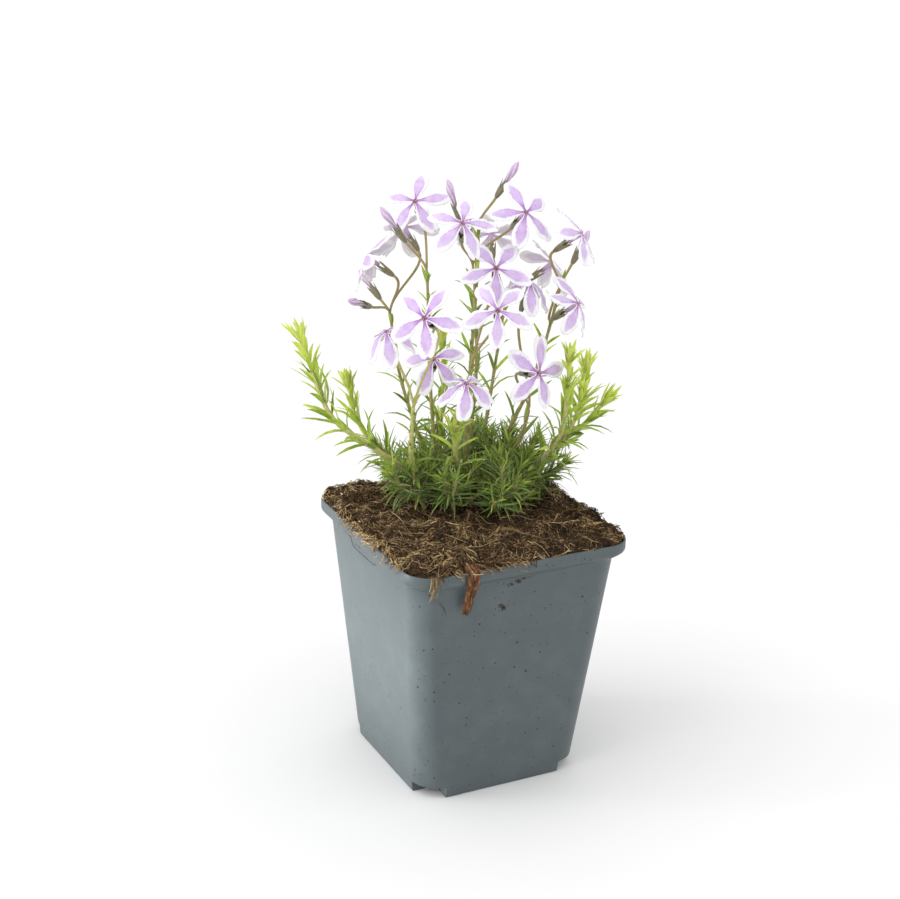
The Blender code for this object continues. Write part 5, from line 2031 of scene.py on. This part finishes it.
@dataclass
class Shoot:
    """One node's stems with their stalks, leaves, calyces and buds, in one piece."""

    name: str
    growth: Growth
    masters: Masters

    def axes(self) -> Iterator[tuple[Axis, np.ndarray, list[Head]]]:
        """Each stem of the node, with its points and the heads at its end."""
        for number, axis in enumerate(self.growth.shoots[self.name]):
            yield axis, *self.growth.lines_of(axis, number == 0, FINE_STEP, FINE_SEGMENTS)

    def stems(self) -> bpy.types.Object:
        """Stems swollen at each pair of leaves, and the stalks that leave them."""
        bundle = Strands(2)
        for axis, stem, heads in self.axes():
            habit, stout = axis.habit, axis.radius[0] > 1
            joints = np.array([s.root for a, s, _ in self.growth.sites[self.name] if a is axis])
            near = np.linalg.norm(stem[:, None] - joints[None], axis=2).min(1)
            swelling = 1 + 0.22 * np.exp(-((near / MM) ** 2))
            size = lerp(*axis.radius, np.linspace(0, 1, len(stem))) * MM * swelling
            if habit is Habit.CUSHION:
                size = size * 0.7
            share = np.append(np.linspace(0, 1, len(stem)), 1)
            young, red = {
                Habit.CUSHION: (0.1 + 0.35 * share, 0.25 * (1 - share)),
                Habit.CREEPING: (0.3 + 0.7 * share, 0.25 * (1 - share)),
                Habit.FLOWERING: (0.8 if stout else 0.55, (0.05 if stout else 0.45) * share**0.7),
            }[habit]
            past = stem[-1] + (stem[-1] - stem[-2]) * 0.3
            widths = np.array((0, *size[1:], 0))
            bundle.add(np.vstack((stem, past)), widths, young=young, tint=red, along=share)
            young, red = (0.7, 0.12) if stout else (0.5, 0.45)
            for head in heads:
                line = np.vstack((head.stalk, head.stalk[-1] + head.way * 0.3 * MM))
                widths = np.append(np.linspace(0.42, 0.55, len(head.stalk)) * MM, 0)
                widths[0] = 0
                bundle.add(line, widths, young=young, tint=red, along=1.0)
        for route in self.growth.offshoots[self.name]:
            widths = np.append(np.linspace(0.6, 0.4, len(route) - 1) * MM, 0)
            widths[0] = 0
            share = np.linspace(0, 1, len(route))
            bundle.add(route, widths, young=lerp(0.1, 0.6, share), tint=0.3, along=share)
        return bundle.bind(self.name + "_stems", Finish.STEM)

    def leaves(self) -> bpy.types.Object:
        """Every leaf of the node, curved between its root and its tip."""
        rng = random.Random(self.name)
        leaves, shape = self.growth.leaves[self.name], self.masters.leaf
        x, y, z = shape.points.T
        keys = ("root", "way", "flat", "length", "width", "arch", "young")
        columns = [np.array([getattr(leaf, key) for leaf in leaves]) for key in keys]
        root, way, flat, length, width, arch, young = columns
        face = np.cross(flat, way)
        face *= np.where(face[:, 2:] < 0, -1, 1)
        half = width[:, None] / 2
        bow = (arch * length)[:, None] * 4 * z * (1 - z)
        places = root[:, None] + way[:, None] * (length[:, None] * z)[..., None]
        places += flat[:, None] * (half * x)[..., None]
        places += face[:, None] * (half * y * 0.9 + bow)[..., None]
        tints = np.array([rng.random() for _ in leaves])
        obj = shape.press(self.name + "_leaves", places, tint=tints, young=young)
        return smooth(paint(obj, Finish.LEAF), 75)

    def heads(self) -> list[bpy.types.Object]:
        """The calyces, and the buds that stand out of theirs."""
        found = [head for _, _, heads in self.axes() for head in heads]
        made = []
        for shape, suffix, finish, chosen in (
            (self.masters.calyx, "_calyces", Finish.CALYX, found),
            (self.masters.bud, "_buds", Finish.BUD, [head for head in found if head.is_bud]),
        ):
            if chosen:
                feet, ways = [head.stalk[-1] for head in chosen], [head.way for head in chosen]
                made.append(paint(set_out(shape, self.name + suffix, feet, ways), finish))
        return made

    def build(self) -> bpy.types.Object:
        """The whole piece."""
        return join(self.name + "_growth", [self.stems(), self.leaves(), *self.heads()])


@dataclass
class Flower:
    """One open flower: five striped petals round a narrow tube with its anthers."""

    name: str
    bloom: Bloom
    masters: Masters
    rows: int = 22
    columns: int = 14
    steps: int = 240
    thickness: float = 0.26 * MM
    tips: tuple[float, float] = (0.6, 1.5)
    notches: tuple[float, float] = (0.02, 0.11)
    notch_place: float = 0.35
    notch_width: float = 0.35
    wave: float = 0.3 * MM
    waves: tuple[float, float] = (2.0, 3.2)
    roll: float = 0.5 * MM
    groove: float = 0.18 * MM
    groove_width: float = 0.16
    curls: tuple[float, float] = (-0.7, 1.3)
    twist: float = 0.4
    outline: tuple = (
        (0, 0.62), (0.1, 0.82), (0.2, 1.42), (0.32, 2.25), (0.45, 2.9), (0.57, 3.2), (0.69, 3.1),
    )
    rings: tuple = (
        (-5.6, 0.8), (-3.6, 0.84), (-1.8, 0.92), (-0.7, 1.08), (-0.1, 1.34), (0.06, 1.3),
        (0.05, 1.12), (-0.35, 0.88), (-1.2, 0.66), (-2.2, 0.5),
    )

    def petal(self, index: int, rng: random.Random) -> bpy.types.Object:
        """One petal, waved at its margin and notched at its tip."""
        out, side, faces, eye = petal_frame(self.bloom, index)
        grid = {"x_subdivisions": self.rows, "y_subdivisions": self.columns, "size": 2}
        obj = add("grid", f"{self.name}_petal_{index}", **grid)
        flat = points_of(obj)
        u, v = (flat[:, 0] + 1) / 2, flat[:, 1]
        tip, notch = rng.uniform(*self.tips), rng.uniform(*self.notches)
        off = rng.uniform(-self.notch_place, self.notch_place)
        end = 1 - 0.05 * v**2 - notch * np.exp(-(((v - off) / self.notch_width) ** 2))
        u = u * (1 - (1 - end) * np.clip((u - 0.72) / 0.28, 0, 1) ** 2)
        line = petal_line(self.bloom.fold + rng.uniform(-8, 9), np.clip(u, 0, 1), self.steps)
        ends = ((0.82, 2.3 + 0.35 * tip), (0.92, 1.4 + 0.52 * tip), (1.0, tip))
        half = np.interp(u, *np.array((*self.outline, *ends)).T) * rng.uniform(0.92, 1.04) * MM
        phase, count = rng.uniform(0, math.tau), rng.uniform(*self.waves)
        wave = self.wave * np.sin(count * math.tau * u + phase + v * 1.4)
        wave = wave * np.abs(v) ** 1.7 * np.clip(u * 2.2, 0, 1)
        roll = -self.roll * v**2 * np.sin(math.pi * np.clip(u * 1.05, 0, 1)) * rng.uniform(0.2, 1.5)
        groove = -self.groove * np.exp(-((v / self.groove_width) ** 2)) * (1 - u)
        curl = -rng.uniform(*self.curls) * MM * np.clip((u - 0.55) / 0.45, 0, 1) ** 2
        twist = rng.uniform(-self.twist, self.twist) * u
        lift = wave + roll + groove + curl
        aside = v * half
        y = aside * np.cos(twist) - lift * np.sin(twist) + rng.uniform(-1.0, 1.0) * MM * u**2
        up = lift * np.cos(twist) + aside * np.sin(twist)
        x = line[:, 0] + up * np.sin(line[:, 2]) - 0.2 * MM * (1 - u) ** 4
        z = line[:, 1] + up * np.cos(line[:, 2]) + 0.12 * MM * (1 - u) ** 3
        move_points(obj, eye + x[:, None] * out + y[:, None] * side + z[:, None] * faces)
        paint(obj, Finish.PETAL_FACE, Finish.PETAL_BACK)
        if np.dot(np.array(obj.data.polygons[0].normal), faces) < 0:
            take(obj)
            with all_selected():
                bpy.ops.mesh.flip_normals()
        back = {"material_offset": 1, "material_offset_rim": 0}
        apply(obj, "SOLIDIFY", thickness=self.thickness, offset=-1, **back)
        return smooth(obj)

    def tube(self) -> bpy.types.Object:
        """The tube, from inside the calyx up to its mouth and down its throat."""
        obj = draw_out(self.name + "_tube", fluted(20, 0), self.rings)
        points = points_of(obj)
        depth = points[:, 2]
        limit = np.interp(depth, (-2.2, -1.2, -0.35, 0.06), (0.7, 0.8, 1.0, 1.2))
        inside = np.hypot(points[:, 0], points[:, 1]) < limit
        along = np.where(inside, 0.66 - depth / 2.2 * 0.34, 0.1 + (depth + 5.6) / 5.6 * 0.5)
        mark(obj, along=np.clip(along, 0, 1))
        _, _, faces, eye = petal_frame(self.bloom, 0)
        level, upright = across(faces)
        move_points(obj, eye + points @ (np.array((level, upright, faces)) * MM))
        return smooth(paint(obj, Finish.THROAT), 70)

    def anthers(self) -> bpy.types.Object:
        """Five anthers, set at uneven depths in the mouth."""
        _, _, faces, eye = petal_frame(self.bloom, 0)
        feet, ways = [], []
        for k in range(PETAL_COUNT):
            out = beside(faces, math.tau * (k + 0.3) / PETAL_COUNT)
            feet.append(eye + out * 0.45 * MM - faces * (0.1 + 0.35 * (k % 3)) * MM)
            ways.append(unit(faces + 0.25 * out))
        made = set_out(self.masters.anther, self.name + "_anthers", feet, ways)
        return paint(made, Finish.POLLEN)

    def build(self) -> bpy.types.Object:
        """The whole flower."""
        rng = random.Random(self.name)
        parts = [self.petal(index, rng) for index in range(PETAL_COUNT)]
        parts += [self.tube(), self.anthers()]
        shade = rng.uniform(0.15, 1.0)
        for part in parts:
            mark(part, tint=np.full(len(part.data.vertices), shade))
        return join(self.name + "_flower", parts)


# The studio.


def heading(towards: float, height: float = 0) -> Vector:
    """The direction towards a side, and up from level, both in degrees."""
    turn, rise = math.radians(towards), math.radians(height)
    return Vector((math.cos(turn) * math.cos(rise), math.sin(turn) * math.cos(rise), math.sin(rise)))


def aimed(kind: str, name: str, way: Vector, place: Vector) -> bpy.types.Object:
    """Adds a light of a kind at a place, with its back to a direction."""
    bpy.ops.object.light_add(type=kind, location=place)
    obj = bpy.context.object
    obj.name = name
    obj.rotation_euler = way.to_track_quat("Z", "Y").to_euler()
    return obj


@dataclass(frozen=True)
class Lamp:
    """A soft light far away: where it stands from the pot, how wide it looks and how strong it is."""

    name: str
    towards: float
    height: float
    width: float
    strength: float


@dataclass(frozen=True)
class Strip:
    """A low strip light with a grid before it, level with the pot, so that it leaves the flowers alone."""

    towards: float = 155
    distance: float = 0.45
    height: float = 0.05
    width: float = 0.36
    tall: float = 0.086
    spread: float = 14
    power: float = 0.165

    def set_up(self) -> bpy.types.Object:
        """Adds the strip, which no camera sees."""
        way = heading(self.towards)
        obj = aimed("AREA", "strip_light", way, way * self.distance + Vector((0, 0, self.height)))
        obj.visible_camera = False
        obj.data.shape = "RECTANGLE"
        obj.data.size, obj.data.size_y = self.width, self.tall
        obj.data.spread = math.radians(self.spread)
        obj.data.energy = self.power
        return obj


@dataclass
class Studio:
    """White floor, an even white room, soft light from the left, and the photograph's camera."""

    focal: float = 1852.148
    picture: float = 900.0
    sensor: float = 36
    pitch: float = 20.71159
    roll: float = 1.83198
    yaw: float = 62.51535
    eye: tuple[float, float, float] = (-0.30345, -0.564866, 0.366128)
    sky: float = 1.1
    lamps: tuple[Lamp, ...] = (Lamp("top_light", 175, 42, 50, 0.9),)
    strip: Strip = Strip()

    def floor(self) -> bpy.types.Object:
        """A wide white sheet under the pot."""
        obj = add("grid", "studio_floor", x_subdivisions=12, y_subdivisions=12, size=12)
        paint(obj, Finish.FLOOR)
        return obj

    def camera(self) -> bpy.types.Object:
        """The camera, where the photograph was taken from."""
        ahead, right = heading(self.yaw, -self.pitch), heading(self.yaw - 90)
        up, turn = right.cross(ahead), math.radians(self.roll)
        sideways = math.cos(turn) * right + math.sin(turn) * up
        upwards = math.cos(turn) * up - math.sin(turn) * right
        bpy.ops.object.camera_add()
        obj = bpy.context.object
        obj.name = "camera"
        obj.data.sensor_width = self.sensor
        obj.data.lens = self.focal * self.sensor / self.picture
        obj.data.clip_start = 0.01
        frame = Matrix((sideways, upwards, -ahead)).transposed().to_4x4()
        frame.translation = Vector(self.eye)
        obj.matrix_world = frame
        bpy.context.scene.camera = obj
        return obj

    def light(self) -> None:
        """The soft lights and the even light of a white room."""
        for lamp in self.lamps:
            obj = aimed("SUN", lamp.name, heading(lamp.towards, lamp.height), Vector((0, 0, 1)))
            obj.data.angle = math.radians(lamp.width)
            obj.data.energy = lamp.strength
        self.strip.set_up()
        world = bpy.data.worlds.new("white_room")
        world.use_nodes = True
        air = world.node_tree.nodes["Background"]
        air.inputs["Color"].default_value = (1, 1, 1, 1)
        air.inputs["Strength"].default_value = self.sky
        bpy.context.scene.world = world
        bpy.context.scene.view_settings.view_transform = "Standard"


# The whole.


def hand_over(obj: bpy.types.Object, slot: str, *nodes: str) -> None:
    """Hands a piece over: attaches it to the root body, hides the CAD nodes it stands for, and logs its
    triangles with the given slot name and those nodes.
    """
    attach(obj, "root")
    if nodes:
        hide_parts(*nodes)
    faces = sum(len(p.vertices) - 2 for p in obj.data.polygons)
    LOG.info("%s: %d triangles, slot %s, for %s", obj.name, faces, slot, ", ".join(nodes) or "no node")


def main() -> None:
    """Builds the studio, the pot, the soil and the plant, and attaches every piece to the root body,
    logging each.
    """
    logging.basicConfig(level=logging.INFO, format="%(message)s")
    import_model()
    studio = Studio()
    studio.floor()
    studio.camera()
    studio.light()
    pot, soil = Pot(), SoilBed()
    hand_over(pot.build(), "pot_plastic", "pot")
    # The tab's painted shadow lines.
    hand_over(pot.tab_outline(), "soil")
    hand_over(soil.mound(), "soil", "soil")
    for piece in (soil.fibres(), soil.shreds(), soil.scatter(), soil.wall_bits(), soil.bark()):
        hand_over(piece, "soil")
    masters, growth = Masters(), Growth()
    for name, bloom in BLOOMS.items():
        hand_over(Flower(name, bloom, masters).build(), "petal", name)
    for name in growth.shoots:
        hand_over(Shoot(name, growth, masters).build(), "leaf", name)


if __name__ == "__main__":
    main()
